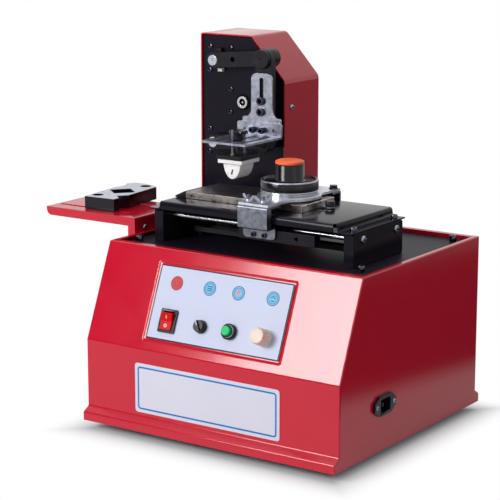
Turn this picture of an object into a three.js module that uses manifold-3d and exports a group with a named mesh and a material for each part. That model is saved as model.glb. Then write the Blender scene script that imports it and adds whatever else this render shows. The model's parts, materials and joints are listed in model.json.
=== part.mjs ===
// Desktop pad printing machine: steel case, print table with ink cup, swinging pad head, work shelf.
// Millimetres, +Z up, the operator stands on the -Y side and +X is the operator's right.
import * as THREE from 'three';
import { mergeVertices } from 'three/addons/utils/BufferGeometryUtils.js';
import Module from 'manifold-3d';

const wasm = await Module();
wasm.setup();

// Driving dimensions, shared by more than one piece
const seat = 0.3;        // gap between faces that rest on each other
const overrun = 5;       // how far a cutting tool runs past the metal
const turnGap = 0.3;     // radial clearance of anything that turns or slides
const roundSteps = 24;   // facets of a full circle
const smallSteps = 12;   // facets of a small bore, pin or corner circle
const bendSteps = 3;     // facets of one sheet bend

const body = {
  width: 380, depth: 341.2, floor: 12, height: 225.1, bend: 104.8, slopeRun: 49.9, wall: 2,
  lip: 10.3, lipOuter: 11, lipInner: 17, rim: 10, rimDrop: 5.1, deckThick: 4, deckGap: 1, ledge: 12,
  corner: 1.5,
};
const frontY = -body.depth / 2;
const backY = body.depth / 2;
const topZ = body.floor + body.height;
const bendZ = body.floor + body.bend;
const slopeTopY = frontY + body.slopeRun;
const deckZ = topZ - body.rimDrop;
const deckUnder = deckZ - body.deckThick;
const ledgeZ = deckUnder - seat;
const sideX = body.width / 2;
const innerX = sideX - body.wall;

// The work line: cup, plate, table and pad share this distance from the case's middle
const workY = -8;

// Print table and its two guide rods
const table = {
  left: -143, right: 127, front: 73, back: 67, rise: 55, sheet: 2, skirt: 10.5, bendRadius: 5, flange: 18,
};
const tableTop = deckZ + table.rise;
const tableFront = workY - table.front;
const tableBack = workY + table.back;
const bracket = { thick: 14, front: 62, back: 56, chamfer: 2, rightFace: 145, leftFace: -156 };
const bracketTop = tableTop - table.skirt - table.sheet - seat;
const rod = { radius: 4, spread: 40, height: 32.8, recess: 3 };
const rodZ = deckZ + rod.height;
const plate = { left: -123, right: 55, depth: 76, thick: 9, chamfer: 0.8 };
const plateTop = tableTop + seat + plate.thick;

// Swinging head: two arms of one length on two pivots, one above the other
const swing = {
  pivotX: -159, lowerPivot: 111.4, pivotSpacing: 110, armLength: 89.4, restAngle: 5.1, shaftRadius: 7.5,
  pinRadius: 5,
};
const lowerPivotZ = deckZ + swing.lowerPivot;
const upperPivotZ = lowerPivotZ + swing.pivotSpacing;
const restTurn = THREE.MathUtils.degToRad(swing.restAngle);
const pinX = swing.pivotX + swing.armLength * Math.cos(restTurn);
const pinRise = swing.armLength * Math.sin(restTurn);

// Tower, from the front face of its plate backwards
const tower = {
  plateY: 80, left: -188, width: 136, topWidth: 83.8, height: 255.9, shoulder: 199.1, depth: 80,
  sheet: 2, bend: 4, lip: 2.5, plateGap: 1, plateThick: 4,
};
const towerRight = tower.left + tower.width;
const towerTop = deckZ + tower.height;
const shoulderZ = deckZ + tower.shoulder;
const chamferX = tower.left + tower.topWidth;
const plateBackY = tower.plateY + tower.plateThick;
const coverFrontY = tower.plateY - tower.lip;
const coverBackY = tower.plateY + tower.depth;

// Layers of the head in front of the tower plate, each counted forwards from the one behind
const layer = { armGap: 5, arm: 11.7, carrier: 10.7, sheet: 3 };
const armBackY = tower.plateY - layer.armGap;
const armFrontY = armBackY - layer.arm;
const carrierBackY = armFrontY - seat;
const carrierFrontY = carrierBackY - layer.carrier;
const bracketBackY = carrierFrontY - seat;
const bracketFrontY = bracketBackY - layer.sheet;
const angleBackY = bracketFrontY - seat;

// Finishes
const finish = {
  redPaint: new THREE.MeshStandardMaterial({ color: 0xc40d2c, roughness: 0.32, metalness: 0 }),
  blackPaint: new THREE.MeshStandardMaterial({ color: 0x141318, roughness: 0.3, metalness: 0 }),
  blackOxide: new THREE.MeshStandardMaterial({ color: 0x1d1c22, roughness: 0.5, metalness: 0.4 }),
  zinc: new THREE.MeshStandardMaterial({ color: 0xb9bfd0, roughness: 0.35, metalness: 0.9 }),
  steel: new THREE.MeshStandardMaterial({ color: 0xc9cbd2, roughness: 0.22, metalness: 1 }),
  plateSteel: new THREE.MeshStandardMaterial({ color: 0x7c6f68, roughness: 0.45, metalness: 0.85 }),
  rubber: new THREE.MeshStandardMaterial({ color: 0x161616, roughness: 0.85, metalness: 0 }),
  silicone: new THREE.MeshStandardMaterial({ color: 0xf1edea, roughness: 0.5, metalness: 0 }),
  label: new THREE.MeshStandardMaterial({ color: 0xd5daee, roughness: 0.4, metalness: 0.1 }),
  blackPlastic: new THREE.MeshStandardMaterial({ color: 0x18181b, roughness: 0.4, metalness: 0 }),
  redPlastic: new THREE.MeshStandardMaterial({ color: 0xd01010, roughness: 0.25, metalness: 0 }),
  greenPlastic: new THREE.MeshStandardMaterial({ color: 0x10c070, roughness: 0.3, metalness: 0 }),
  creamPlastic: new THREE.MeshStandardMaterial({ color: 0xf8e4cf, roughness: 0.45, metalness: 0 }),
  orangePlastic: new THREE.MeshStandardMaterial({ color: 0xff6a3a, roughness: 0.4, metalness: 0 }),
  boardGreen: new THREE.MeshStandardMaterial({ color: 0x1d6b42, roughness: 0.5, metalness: 0 }),
  beltRubber: new THREE.MeshStandardMaterial({ color: 0x1b1b1d, roughness: 0.8, metalness: 0 }),
};

// Solids: a closed geometry becomes a solid that can be joined and cut
function solid(geometry) {
  const bare = geometry.clone();
  bare.deleteAttribute('normal');
  bare.deleteAttribute('uv');
  const merged = mergeVertices(bare);
  const index = merged.index
    ? new Uint32Array(merged.index.array)
    : Uint32Array.from({ length: merged.attributes.position.count }, (_, i) => i);
  const mesh = new wasm.Mesh({
    numProp: 3, vertProperties: new Float32Array(merged.attributes.position.array), triVerts: index,
  });
  return new wasm.Manifold(mesh);
}

function geometryOf(manifold) {
  const mesh = manifold.getMesh();
  const geometry = new THREE.BufferGeometry();
  geometry.setAttribute('position', new THREE.BufferAttribute(new Float32Array(mesh.vertProperties), 3));
  geometry.setIndex(new THREE.BufferAttribute(new Uint32Array(mesh.triVerts), 1));
  const flat = geometry.toNonIndexed();
  flat.computeVertexNormals();
  return flat;
}

const join = (...parts) => parts.reduce((sum, part) => sum.add(part));
const cut = (stock, ...tools) => tools.reduce((rest, tool) => rest.subtract(tool), stock);

// Basic forms, each placed by its own corners or centre line
function block(x0, x1, y0, y1, z0, z1) {
  const box = new THREE.BoxGeometry(x1 - x0, y1 - y0, z1 - z0);
  return solid(box.translate((x0 + x1) / 2, (y0 + y1) / 2, (z0 + z1) / 2));
}

function cylinder(axis, radius, from, to, a, b, steps = roundSteps) {
  const shaft = new THREE.CylinderGeometry(radius, radius, to - from, steps);
  const middle = (from + to) / 2;
  if (axis === 'x') return solid(shaft.rotateZ(Math.PI / 2).translate(middle, a, b));
  if (axis === 'y') return solid(shaft.translate(a, middle, b));
  return solid(shaft.rotateX(Math.PI / 2).translate(a, b, middle));
}

// A profile of [radius, height] points turned about +Z
function turned(profile, steps = roundSteps) {
  const points = profile.map(([r, z]) => new THREE.Vector2(r, z));
  return solid(new THREE.LatheGeometry(points, steps).rotateX(Math.PI / 2));
}

function moved(manifold, x, y, z) {
  return manifold.translate([x, y, z]);
}

function shapeOf(points, holes = []) {
  const shape = new THREE.Shape(points.map(([a, b]) => new THREE.Vector2(a, b)));
  shape.holes = holes;
  return shape;
}

// Extrusions of a flat outline: across X (outline in Y, Z), Y (outline in X, Z) or Z (outline in X, Y)
function across(axis, shape, from, to, steps = smallSteps / 2) {
  const depth = to - from;
  const raw = new THREE.ExtrudeGeometry(shape, { depth, bevelEnabled: false, curveSegments: steps });
  if (axis === 'z') return solid(raw.translate(0, 0, from));
  if (axis === 'x') return solid(raw.rotateX(Math.PI / 2).rotateZ(Math.PI / 2).translate(from, 0, 0));
  return solid(raw.rotateX(Math.PI / 2).translate(0, to, 0));
}

function roundedRect(x0, x1, y0, y1, r) {
  const shape = new THREE.Shape();
  shape.moveTo(x0 + r, y0).lineTo(x1 - r, y0).absarc(x1 - r, y0 + r, r, -Math.PI / 2, 0, false);
  shape.lineTo(x1, y1 - r).absarc(x1 - r, y1 - r, r, 0, Math.PI / 2, false);
  shape.lineTo(x0 + r, y1).absarc(x0 + r, y1 - r, r, Math.PI / 2, Math.PI, false);
  shape.lineTo(x0, y0 + r).absarc(x0 + r, y0 + r, r, Math.PI, Math.PI * 3 / 2, false);
  return shape;
}

// A straight slot between two centres that share one coordinate
function slotShape(ax, ay, bx, by, r) {
  const low = [Math.min(ax, bx) - r, Math.min(ay, by) - r];
  const high = [Math.max(ax, bx) + r, Math.max(ay, by) + r];
  return roundedRect(low[0], high[0], low[1], high[1], r);
}

function circle(x, y, r) {
  return new THREE.Shape().absarc(x, y, r, 0, Math.PI * 2, false);
}

// Sheet metal: one face of the folded sheet as a path, its thickness to the left (or right if negative)
function rounded(points, radii) {
  const path = [];
  points.forEach((point, i) => {
    if (i === 0 || i === points.length - 1 || radii[i] === 0) {
      path.push(point);
      return;
    }
    const corner = new THREE.Vector2(...point);
    const back = new THREE.Vector2(...points[i - 1]).sub(corner);
    const on = new THREE.Vector2(...points[i + 1]).sub(corner);
    const reach = Math.min(radii[i], back.length() / 2, on.length() / 2);
    const start = back.setLength(reach).add(corner);
    const end = on.setLength(reach).add(corner);
    new THREE.QuadraticBezierCurve(start, corner, end).getPoints(bendSteps)
      .forEach((p) => path.push([p.x, p.y]));
  });
  return path;
}

function offset(path, distance) {
  return path.map((point, i) => {
    const here = new THREE.Vector2(...point);
    const before = i > 0 ? here.clone().sub(new THREE.Vector2(...path[i - 1])).normalize() : null;
    const after = i < path.length - 1 ? new THREE.Vector2(...path[i + 1]).sub(here).normalize() : null;
    const mean = (before && after ? before.clone().add(after) : (before || after)).normalize();
    const stretch = 1 / mean.dot(before || after);
    return [here.x - mean.y * distance * stretch, here.y + mean.x * distance * stretch];
  });
}

// +1 where the path turns left at a point, -1 where it turns right
function turnAt(points, i) {
  if (i === 0 || i === points.length - 1) return 0;
  const before = new THREE.Vector2(...points[i]).sub(new THREE.Vector2(...points[i - 1]));
  const after = new THREE.Vector2(...points[i + 1]).sub(new THREE.Vector2(...points[i]));
  return Math.sign(before.cross(after));
}

function sheetShape(points, thickness, bend) {
  const farRadii = points.map((_, i) => Math.max(bend - turnAt(points, i) * thickness, 0));
  const near = rounded(points, points.map(() => bend));
  const far = rounded(offset(points, thickness), farRadii);
  return shapeOf([...near, ...far.reverse()]);
}

// The exported scene: every sub-part is one named mesh
const machine = new THREE.Group();

function part(name, manifold, material, parent = machine) {
  const mesh = new THREE.Mesh(geometryOf(manifold), material);
  mesh.name = name;
  parent.add(mesh);
  return mesh;
}

// Case: front and back panels with a drip lip, flat sides, a joggled rim that holds the deck
const slopeTilt = Math.atan2(topZ - bendZ, body.slopeRun);
const slope = new THREE.Group();
slope.position.set(0, slopeTopY, topZ);
slope.rotation.x = slopeTilt;
slope.updateMatrix();
machine.add(slope);

function onSlope(manifold) {
  return solid(geometryOf(manifold).applyMatrix4(slope.matrix));
}

function casePanel(away, path) {
  const half = innerX - seat;
  const shape = sheetShape(path, away * body.wall, body.corner);
  return across('x', shape, -half, half);
}

const frontPath = [
  [frontY - body.lip, body.floor], [frontY - body.lip, body.floor + body.lipOuter],
  [frontY, body.floor + body.lipInner], [frontY, bendZ], [slopeTopY, topZ], [slopeTopY + body.rim, topZ],
  [slopeTopY + body.rim, ledgeZ], [slopeTopY + body.rim + body.ledge, ledgeZ],
];
const backPath = [
  [backY + body.lip, body.floor], [backY + body.lip, body.floor + body.lipOuter],
  [backY, body.floor + body.lipInner], [backY, topZ], [backY - body.rim, topZ],
  [backY - body.rim, ledgeZ], [backY - body.rim - body.ledge, ledgeZ],
];

// Control panel in slope coordinates: X across, v down the slope from the top edge
const panel = {
  width: 199, height: 94, centre: 67.2, thick: 1.2, corner: 2, recessWidth: 208, recessHeight: 103,
  recessDepth: 1.2, recessCorner: 7, frame: 8,
};
const panelTopV = panel.centre - panel.height / 2;
const controls = { v: 89.8, rocker: -70.4, selector: -20, button: 23, speed: 73.5 };
const panelFace = -panel.recessDepth + seat + panel.thick;

function buildFrontPanel() {
  const stock = casePanel(-1, frontPath);
  const recess = roundedRect(
    -panel.recessWidth / 2, panel.recessWidth / 2,
    -panel.centre - panel.recessHeight / 2, -panel.centre + panel.recessHeight / 2, panel.recessCorner);
  const windowHalf = panel.width / 2 - panel.frame;
  const windowRise = panel.height / 2 - panel.frame;
  const pocket = across('z', recess, -panel.recessDepth, overrun);
  const opening = block(
    -windowHalf, windowHalf, -panel.centre - windowRise, -panel.centre + windowRise, -overrun, overrun);
  part('front_panel', cut(stock, onSlope(pocket), onSlope(opening)), finish.redPaint);
}
buildFrontPanel();
part('back_panel', casePanel(1, backPath), finish.redPaint);

// Mains inlet on the right side, in Y and Z on that side
const inlet = {
  y: -70.3, z: 58.7, flangeLength: 50, flangeHeight: 25, flangeThick: 3.2, earRadius: 5, bodyLength: 27.6,
  bodyHeight: 20, bodyDepth: 24, corner: 2, wall: 1.7, cavity: 20, pin: 2, pinTall: 4.5, pinLength: 12.5,
  pinSpread: 7, earthRise: 3,
};
const inletZ = body.floor + inlet.z;

const sideOutline = [
  [frontY - body.lip, body.floor], [frontY - body.lip, body.floor + body.lipOuter],
  [frontY, body.floor + body.lipInner], [frontY, bendZ], [slopeTopY, topZ], [backY, topZ],
  [backY, body.floor + body.lipInner], [backY + body.lip, body.floor + body.lipOuter],
  [backY + body.lip, body.floor],
];

function buildSidePanels() {
  const round = rounded(sideOutline, sideOutline.map(() => body.corner)).reverse();
  part('side_panel_left', across('x', shapeOf(round), -sideX, -innerX), finish.redPaint);
  const right = across('x', shapeOf(round), innerX, sideX);
  const hole = block(
    innerX - overrun, sideX + overrun,
    inlet.y - inlet.bodyLength / 2 - seat, inlet.y + inlet.bodyLength / 2 + seat,
    inletZ - inlet.bodyHeight / 2 - seat, inletZ + inlet.bodyHeight / 2 + seat);
  part('side_panel_right', cut(right, hole), finish.redPaint);
}
buildSidePanels();

function buildInlet() {
  const halfL = inlet.flangeLength / 2;
  const halfH = inlet.flangeHeight / 2;
  const outer = sideX + seat;
  const face = outer + inlet.flangeThick;
  const flange = across('x', shapeOf([
    [inlet.y - halfL, inletZ - inlet.earRadius], [inlet.y - halfL, inletZ + inlet.earRadius],
    [inlet.y - inlet.bodyLength / 2, inletZ + halfH], [inlet.y + inlet.bodyLength / 2, inletZ + halfH],
    [inlet.y + halfL, inletZ + inlet.earRadius], [inlet.y + halfL, inletZ - inlet.earRadius],
    [inlet.y + inlet.bodyLength / 2, inletZ - halfH], [inlet.y - inlet.bodyLength / 2, inletZ - halfH],
  ].reverse()), outer, face);
  const halfBody = inlet.bodyLength / 2;
  const housing = block(
    face - inlet.bodyDepth, face, inlet.y - halfBody, inlet.y + halfBody,
    inletZ - inlet.bodyHeight / 2, inletZ + inlet.bodyHeight / 2);
  const socket = across('x', roundedRect(
    inlet.y - halfBody + inlet.wall, inlet.y + halfBody - inlet.wall,
    inletZ - inlet.bodyHeight / 2 + inlet.wall, inletZ + inlet.bodyHeight / 2 - inlet.wall, inlet.corner),
  face - inlet.cavity, face + overrun, bendSteps);
  const shell = cut(join(flange, housing), socket);
  const root = face - inlet.cavity - inlet.wall;
  const pinPlaces = [
    [-inlet.pinSpread, -inlet.earthRise], [0, inlet.earthRise], [inlet.pinSpread, -inlet.earthRise],
  ];
  const pins = pinPlaces.map(([dy, dz]) => block(
    root, face - inlet.cavity + inlet.pinLength,
    inlet.y + dy - inlet.pin / 2, inlet.y + dy + inlet.pin / 2,
    inletZ + dz - inlet.pinTall / 2, inletZ + dz + inlet.pinTall / 2));
  part('power_inlet', join(shell, ...pins), finish.blackPlastic);
}
buildInlet();

// Deck, floor plate and feet
const floorPlate = { thick: 2 };
const foot = { radius: 13, tipRadius: 11, insetX: 32, insetY: 30 };
const deckFront = slopeTopY + body.rim + body.deckGap;
const deckBack = backY - body.rim - body.deckGap;
const deckHalf = innerX - seat;

// Belt drive of the carriage: drive pulley on the motor shaft at the right, idler at the left
const drive = {
  rightInset: 27, leftInset: 28, pulleyRadius: 8, flangeRadius: 9.5, beltThick: 1.4, beltHeight: 6,
  beltRise: 10,
  flangeThick: 1, shaftRadius: 4, motorSide: 56, gearboxHeight: 35, canHeight: 63, canRadius: 23,
};
const beltZ = deckZ + drive.beltRise;
const driveX = bracket.rightFace - drive.rightInset;
const idlerX = bracket.leftFace + drive.leftInset;

function buildDeck() {
  const deck = block(-deckHalf, deckHalf, deckFront, deckBack, deckUnder, deckZ);
  const shaftHole = cylinder(
    'z', drive.shaftRadius + turnGap, deckUnder - overrun, deckZ + overrun, driveX, workY);
  part('top_plate', cut(deck, shaftHole), finish.blackPaint);
  const half = innerX - seat;
  const reach = backY + body.lip - body.wall - seat;
  part('base_plate', block(-half, half, -reach, reach, body.floor, body.floor + floorPlate.thick),
    finish.blackPaint);
  const footX = sideX - foot.insetX;
  const footY = backY - foot.insetY;
  const spots = [['foot_front_left', -1, -1], ['foot_front_right', 1, -1],
    ['foot_back_left', -1, 1], ['foot_back_right', 1, 1]];
  spots.forEach(([name, sx, sy]) => {
    const profile = [
      [0, 0], [foot.tipRadius, 0], [foot.radius, body.floor / 4], [foot.radius, body.floor - seat],
      [0, body.floor - seat],
    ];
    part(name, moved(turned(profile), sx * footX, sy * footY, 0), finish.rubber);
  });
}
buildDeck();

// Control panel and what is mounted in it; everything here is in slope coordinates, v runs down
function slopePart(name, manifold, material) {
  return part(name, manifold, material, slope);
}

const rocker = {
  bezelWidth: 25, bezelHeight: 30, bezelThick: 2.4, corner: 2, bodyWidth: 20.5, bodyHeight: 26,
  bodyDepth: 20, pocketWidth: 17.6, pocketHeight: 23.6, pocketDepth: 12, buttonWidth: 16.8, half: 10.7,
  below: 4, crown: 4.4, wing: 6.4, tilt: 10,
};
const selector = { shaft: 3, radius: 8.5, base: 2, height: 8, topRadius: 7.6, ridge: 3, ridgeRise: 2.4 };
const button = {
  bezelRadius: 10, bezelHeight: 6, bore: 7, threadRadius: 8.6, depth: 16, floor: 2, capRadius: 6.6,
  capRise: 11.3, stem: 9, dome: 1,
};
const speed = {
  shaft: 3, radius: 11.5, topRadius: 10.3, height: 20, skirt: 2, flutes: 16, flute: 1, edge: 1,
};

function buildControlPanel() {
  const outline = roundedRect(
    -panel.width / 2, panel.width / 2, -panelTopV - panel.height, -panelTopV, panel.corner);
  const sheet = across('z', outline, panelFace - panel.thick, panelFace, bendSteps);
  const at = -controls.v;
  const switchHole = block(
    controls.rocker - rocker.bodyWidth / 2 - seat, controls.rocker + rocker.bodyWidth / 2 + seat,
    at - rocker.bodyHeight / 2 - seat, at + rocker.bodyHeight / 2 + seat, -overrun, overrun);
  const round = (x, r) => cylinder('z', r + turnGap, -overrun, overrun, x, at);
  slopePart('control_panel', cut(
    sheet, switchHole, round(controls.selector, selector.shaft), round(controls.button, button.threadRadius),
    round(controls.speed, speed.shaft)), finish.label);
}
buildControlPanel();

const rockerPivot = panelFace + seat;

function buildRocker() {
  const at = -controls.v;
  const under = panelFace + seat;
  const bezel = across('z', roundedRect(
    controls.rocker - rocker.bezelWidth / 2, controls.rocker + rocker.bezelWidth / 2,
    at - rocker.bezelHeight / 2, at + rocker.bezelHeight / 2, rocker.corner),
  under, under + rocker.bezelThick, bendSteps);
  const housing = block(
    controls.rocker - rocker.bodyWidth / 2, controls.rocker + rocker.bodyWidth / 2,
    at - rocker.bodyHeight / 2, at + rocker.bodyHeight / 2, under - rocker.bodyDepth, under + seat);
  const pocket = block(
    controls.rocker - rocker.pocketWidth / 2, controls.rocker + rocker.pocketWidth / 2,
    at - rocker.pocketHeight / 2, at + rocker.pocketHeight / 2,
    under - rocker.pocketDepth, under + overrun);
  slopePart('rocker_bezel', cut(join(bezel, housing), pocket), finish.blackPlastic);

  // The button turns about X on a pivot level with the panel face; its lower half is pressed at rest
  const profile = shapeOf([
    [-rocker.half, -rocker.below], [rocker.half, -rocker.below], [rocker.half, rocker.wing],
    [0, rocker.crown], [-rocker.half, rocker.wing],
  ]);
  const key = across('x', profile, -rocker.buttonWidth / 2, rocker.buttonWidth / 2);
  const mesh = slopePart('rocker_button', key, finish.redPlastic);
  mesh.position.set(controls.rocker, at, rockerPivot);
  mesh.rotation.x = THREE.MathUtils.degToRad(rocker.tilt);
}
buildRocker();

function buildKnobs() {
  const at = -controls.v;
  const under = panelFace + seat;
  const back = -panel.recessDepth - overrun;
  const dial = turned([
    [0, back], [selector.shaft, back], [selector.shaft, under], [selector.radius, under],
    [selector.radius, under + selector.base], [selector.topRadius, under + selector.height],
    [0, under + selector.height],
  ]);
  const top = under + selector.height;
  const reach = selector.topRadius * Math.cos(Math.asin(selector.ridge / 2 / selector.topRadius));
  const pointer = block(
    -selector.ridge / 2, selector.ridge / 2, -reach, reach, top - selector.ridge, top + selector.ridgeRise);
  const dialMesh = slopePart('selector_knob', join(dial, pointer), finish.blackPlastic);
  dialMesh.position.set(controls.selector, at, 0);
  dialMesh.rotation.z = THREE.MathUtils.degToRad(selectorRest);

  const collar = turned([
    [0, under - button.depth], [button.threadRadius, under - button.depth], [button.threadRadius, under],
    [button.bezelRadius, under], [button.bezelRadius, under + button.bezelHeight],
    [button.bore, under + button.bezelHeight], [button.bore, under - button.depth + button.floor],
    [0, under - button.depth + button.floor],
  ]);
  slopePart('button_bezel', moved(collar, controls.button, at, 0), finish.blackPlastic);
  const capTop = under + button.capRise;
  const cap = turned([
    [0, under - button.stem], [button.capRadius, under - button.stem],
    [button.capRadius, capTop - button.dome],
    [button.capRadius - button.dome, capTop], [0, capTop],
  ]);
  slopePart('push_button', moved(cap, controls.button, at, 0), finish.greenPlastic);

  const grip = turned([
    [0, back], [speed.shaft, back], [speed.shaft, under], [speed.radius, under],
    [speed.radius, under + speed.skirt], [speed.topRadius, under + speed.height - speed.edge],
    [speed.topRadius - speed.edge, under + speed.height], [0, under + speed.height],
  ]);
  const flutes = Array.from({ length: speed.flutes }, (_, i) => {
    const angle = i / speed.flutes * Math.PI * 2;
    return cylinder(
      'z', speed.flute, under + speed.skirt + speed.edge, under + speed.height + overrun,
      speed.radius * Math.cos(angle), speed.radius * Math.sin(angle), smallSteps / 2);
  });
  slopePart('speed_knob', moved(cut(grip, ...flutes), controls.speed, at, 0), finish.creamPlastic);
}
const selectorRest = 30;
buildKnobs();

// Inside the case: carriage motor under the deck, power supply and control board on the floor
const supply = { inset: 95, y: 60, width: 110, depth: 70, height: 45 };
const board = {
  gap: 20, y: 70, width: 120, depth: 80, thick: 1.6, stand: 8, postRadius: 3, postInset: 6,
  chipShare: [[-0.25, 0.2, 0.2, 0.2, 0.1], [0.2, 0.15, 0.15, 0.3, 0.15], [0, -0.3, 0.5, 0.15, 0.08]],
};

function buildInside() {
  const supplyX = supply.inset - sideX;
  const boardX = supplyX + supply.width / 2 + board.gap + board.width / 2;
  const side = drive.motorSide / 2;
  const topOfMotor = deckUnder - seat;
  const gearbox = block(
    driveX - side, driveX + side, workY - side, workY + side,
    topOfMotor - drive.gearboxHeight, topOfMotor);
  const can = cylinder('z', drive.canRadius, topOfMotor - drive.gearboxHeight - drive.canHeight,
    topOfMotor - drive.gearboxHeight + overrun, driveX, workY);
  part('carriage_motor', join(gearbox, can), finish.blackOxide);

  const ground = body.floor + floorPlate.thick + seat;
  part('power_supply', block(
    supplyX - supply.width / 2, supplyX + supply.width / 2, supply.y - supply.depth / 2,
    supply.y + supply.depth / 2, ground, ground + supply.height), finish.zinc);

  const under = ground + board.stand;
  const top = under + board.thick;
  const sheet = block(
    boardX - board.width / 2, boardX + board.width / 2, board.y - board.depth / 2,
    board.y + board.depth / 2, under, top);
  const posts = [[-1, -1], [1, -1], [-1, 1], [1, 1]].map(([sx, sy]) => cylinder(
    'z', board.postRadius, ground, top,
    boardX + sx * (board.width / 2 - board.postInset), board.y + sy * (board.depth / 2 - board.postInset),
    smallSteps));
  const chips = board.chipShare.map(([cx, cy, w, d, h]) => block(
    boardX + (cx - w / 2) * board.width, boardX + (cx + w / 2) * board.width,
    board.y + (cy - d / 2) * board.depth, board.y + (cy + d / 2) * board.depth,
    under, top + h * board.width));
  part('control_board', join(sheet, ...posts, ...chips), finish.boardGreen);
}
buildInside();

// Table brackets and guide rods
function buildBrackets() {
  const y0 = workY - bracket.front;
  const y1 = workY + bracket.back;
  const foots = deckZ + seat;
  const c = bracket.chamfer;
  const bores = [-rod.spread, rod.spread].map((dy) => [workY + dy, rodZ]);
  const sides = [['table_bracket_left', bracket.leftFace, bracket.leftFace + bracket.thick],
    ['table_bracket_right', bracket.rightFace - bracket.thick, bracket.rightFace]];
  sides.forEach(([name, x0, x1]) => {
    const outline = shapeOf([
      [y0, foots], [y1, foots], [y1, bracketTop - c], [y1 - c, bracketTop], [y0 + c, bracketTop],
      [y0, bracketTop - c],
    ]);
    const stock = across('x', outline, x0, x1);
    const holes = bores.map(([y, z]) => cylinder('x', rod.radius + seat, x0 - overrun, x1 + overrun, y, z));
    part(name, cut(stock, ...holes), finish.blackPaint);
  });
  [['guide_rod_front', bores[0]], ['guide_rod_back', bores[1]]].forEach(([name, [y, z]]) => {
    const bar = cylinder(
      'x', rod.radius, bracket.leftFace + rod.recess, bracket.rightFace - rod.recess, y, z);
    part(name, bar, finish.steel);
  });
}
buildBrackets();

// Table: one folded sheet, skirts at front and back, a step down to a flange at each end
function buildTable() {
  const s = table.sheet;
  const low = tableTop - table.skirt;
  const skirts = across('x', sheetShape([
    [tableFront, low], [tableFront, tableTop], [tableBack, tableTop], [tableBack, low],
  ], -s, table.bendRadius), table.left + table.bendRadius, table.right - table.bendRadius);
  const flangeTop = low;
  const ends = across('y', sheetShape([
    [table.left - table.flange, flangeTop], [table.left, flangeTop], [table.left, tableTop],
    [table.right, tableTop], [table.right, flangeTop], [table.right + table.flange, flangeTop],
  ], -s, table.bendRadius), tableFront + table.bendRadius, tableBack - table.bendRadius);
  part('print_table', join(skirts, ends), finish.blackPaint);
}
buildTable();

const clampBar = { width: 17, foot: 2 };

function buildPlate() {
  const y0 = workY - plate.depth / 2;
  const y1 = workY + plate.depth / 2;
  const base = tableTop + seat;
  const c = plate.chamfer;
  const outline = shapeOf([
    [plate.left, base], [plate.right, base], [plate.right, plateTop - c], [plate.right - c, plateTop],
    [plate.left + c, plateTop], [plate.left, plateTop - c],
  ]);
  part('printing_plate', across('y', outline, y0, y1), finish.plateSteel);
  const right = plate.left - seat;
  const wedge = shapeOf([
    [right - clampBar.width, base], [right, base], [right, plateTop],
    [right - clampBar.foot, plateTop], [right - clampBar.width, base + clampBar.foot],
  ]);
  part('plate_clamp', across('y', wedge, y0, y1), finish.blackOxide);
}
buildPlate();

// Carriage on the rods, and the ink cup that it drags over the plate
const carriage = {
  x: 12, left: 32, right: 80, barFront: 66, barDepth: 13, barTop: 35.5, barBottom: 20.6, web: 5.5,
  webHalf: 30,
  bearingHalf: 22, bearingDepth: 20, bearingTop: 42, lug: 12, lugGap: 0.5, hole: 2.5, holeX: 53,
};
const cup = {
  ringRadius: 37, ringBore: 30, ringHeight: 11.5, flangeHeight: 12.3, flangeChamfer: 1.5, dish: 1.4, rim: 4,
  towerRadius: 18.5, towerHeight: 19.3, capRadius: 18.2, capHeight: 6, capEdge: 3, domeShare: 0.55,
};
const cupZ = plateTop + seat;
const clamp = {
  sheet: 2.5, topRise: 1.8, drop: 29, web: 10, webRelief: 2, tongueWidth: 48,
  tongueDrop: 42.5, tongueCorner: 5,
};
const frontGrip = {
  side: -1, reach: 84, depth: 28, width: 44, spread: 11, studTop: 10, yokeReach: 82, bolt: 76,
};
const rearGrip = {
  side: 1, reach: 72, depth: 20, width: 64, spread: 25.5, studTop: 5, yokeReach: 70, bolt: 64,
};
const yoke = { thick: 3, collar: 4, neckShare: 0.5, ringGap: 0.4 };
const clampTopZ = plateTop + clamp.topRise;
const wing = { nutRadius: 4.2, nutHeight: 4, span: 9, rise: 6, thick: 1.8, studRadius: 2.2 };

function buildCarriage() {
  const x0 = carriage.x - carriage.left;
  const x1 = carriage.x + carriage.right;
  const bottom = deckZ + carriage.barBottom;
  const top = deckZ + carriage.barTop;
  const bar = (y0, y1) => block(x0, x1, y0, y1, bottom, top);
  const front = workY - carriage.barFront;
  const rear = workY + carriage.barFront;
  const web = block(
    carriage.x - carriage.webHalf, carriage.x + carriage.webHalf, front, rear,
    bottom, bottom + carriage.web);
  const bearings = [-rod.spread, rod.spread].map((dy) => block(
    carriage.x - carriage.bearingHalf, carriage.x + carriage.bearingHalf,
    workY + dy - carriage.bearingDepth / 2, workY + dy + carriage.bearingDepth / 2,
    bottom, deckZ + carriage.bearingTop));
  const bores = [-rod.spread, rod.spread].map((dy) => cylinder(
    'x', rod.radius + turnGap, x0 - overrun, x1 + overrun, workY + dy, rodZ));
  const run = workY - drive.pulleyRadius - drive.beltThick / 2;
  const lug = block(
    carriage.x - carriage.lug, carriage.x + carriage.lug, run - carriage.lug / 2, run + carriage.lug / 4,
    beltZ - drive.beltHeight / 2, bottom + carriage.web);
  const beltSlot = block(
    carriage.x - carriage.lug - overrun, carriage.x + carriage.lug + overrun,
    run - drive.beltThick / 2 - carriage.lugGap, run + drive.beltThick / 2 + carriage.lugGap,
    beltZ - drive.beltHeight / 2 - overrun, beltZ + drive.beltHeight / 2 + carriage.lugGap);
  const tapped = cylinder('y', carriage.hole, front - overrun, front + carriage.barDepth / 2,
    carriage.x + carriage.holeX, (bottom + top) / 2, smallSteps);
  part('carriage', cut(
    join(bar(front, front + carriage.barDepth), bar(rear - carriage.barDepth, rear), web, ...bearings, lug),
    ...bores, beltSlot, tapped), finish.blackOxide);
}
buildCarriage();

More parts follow.
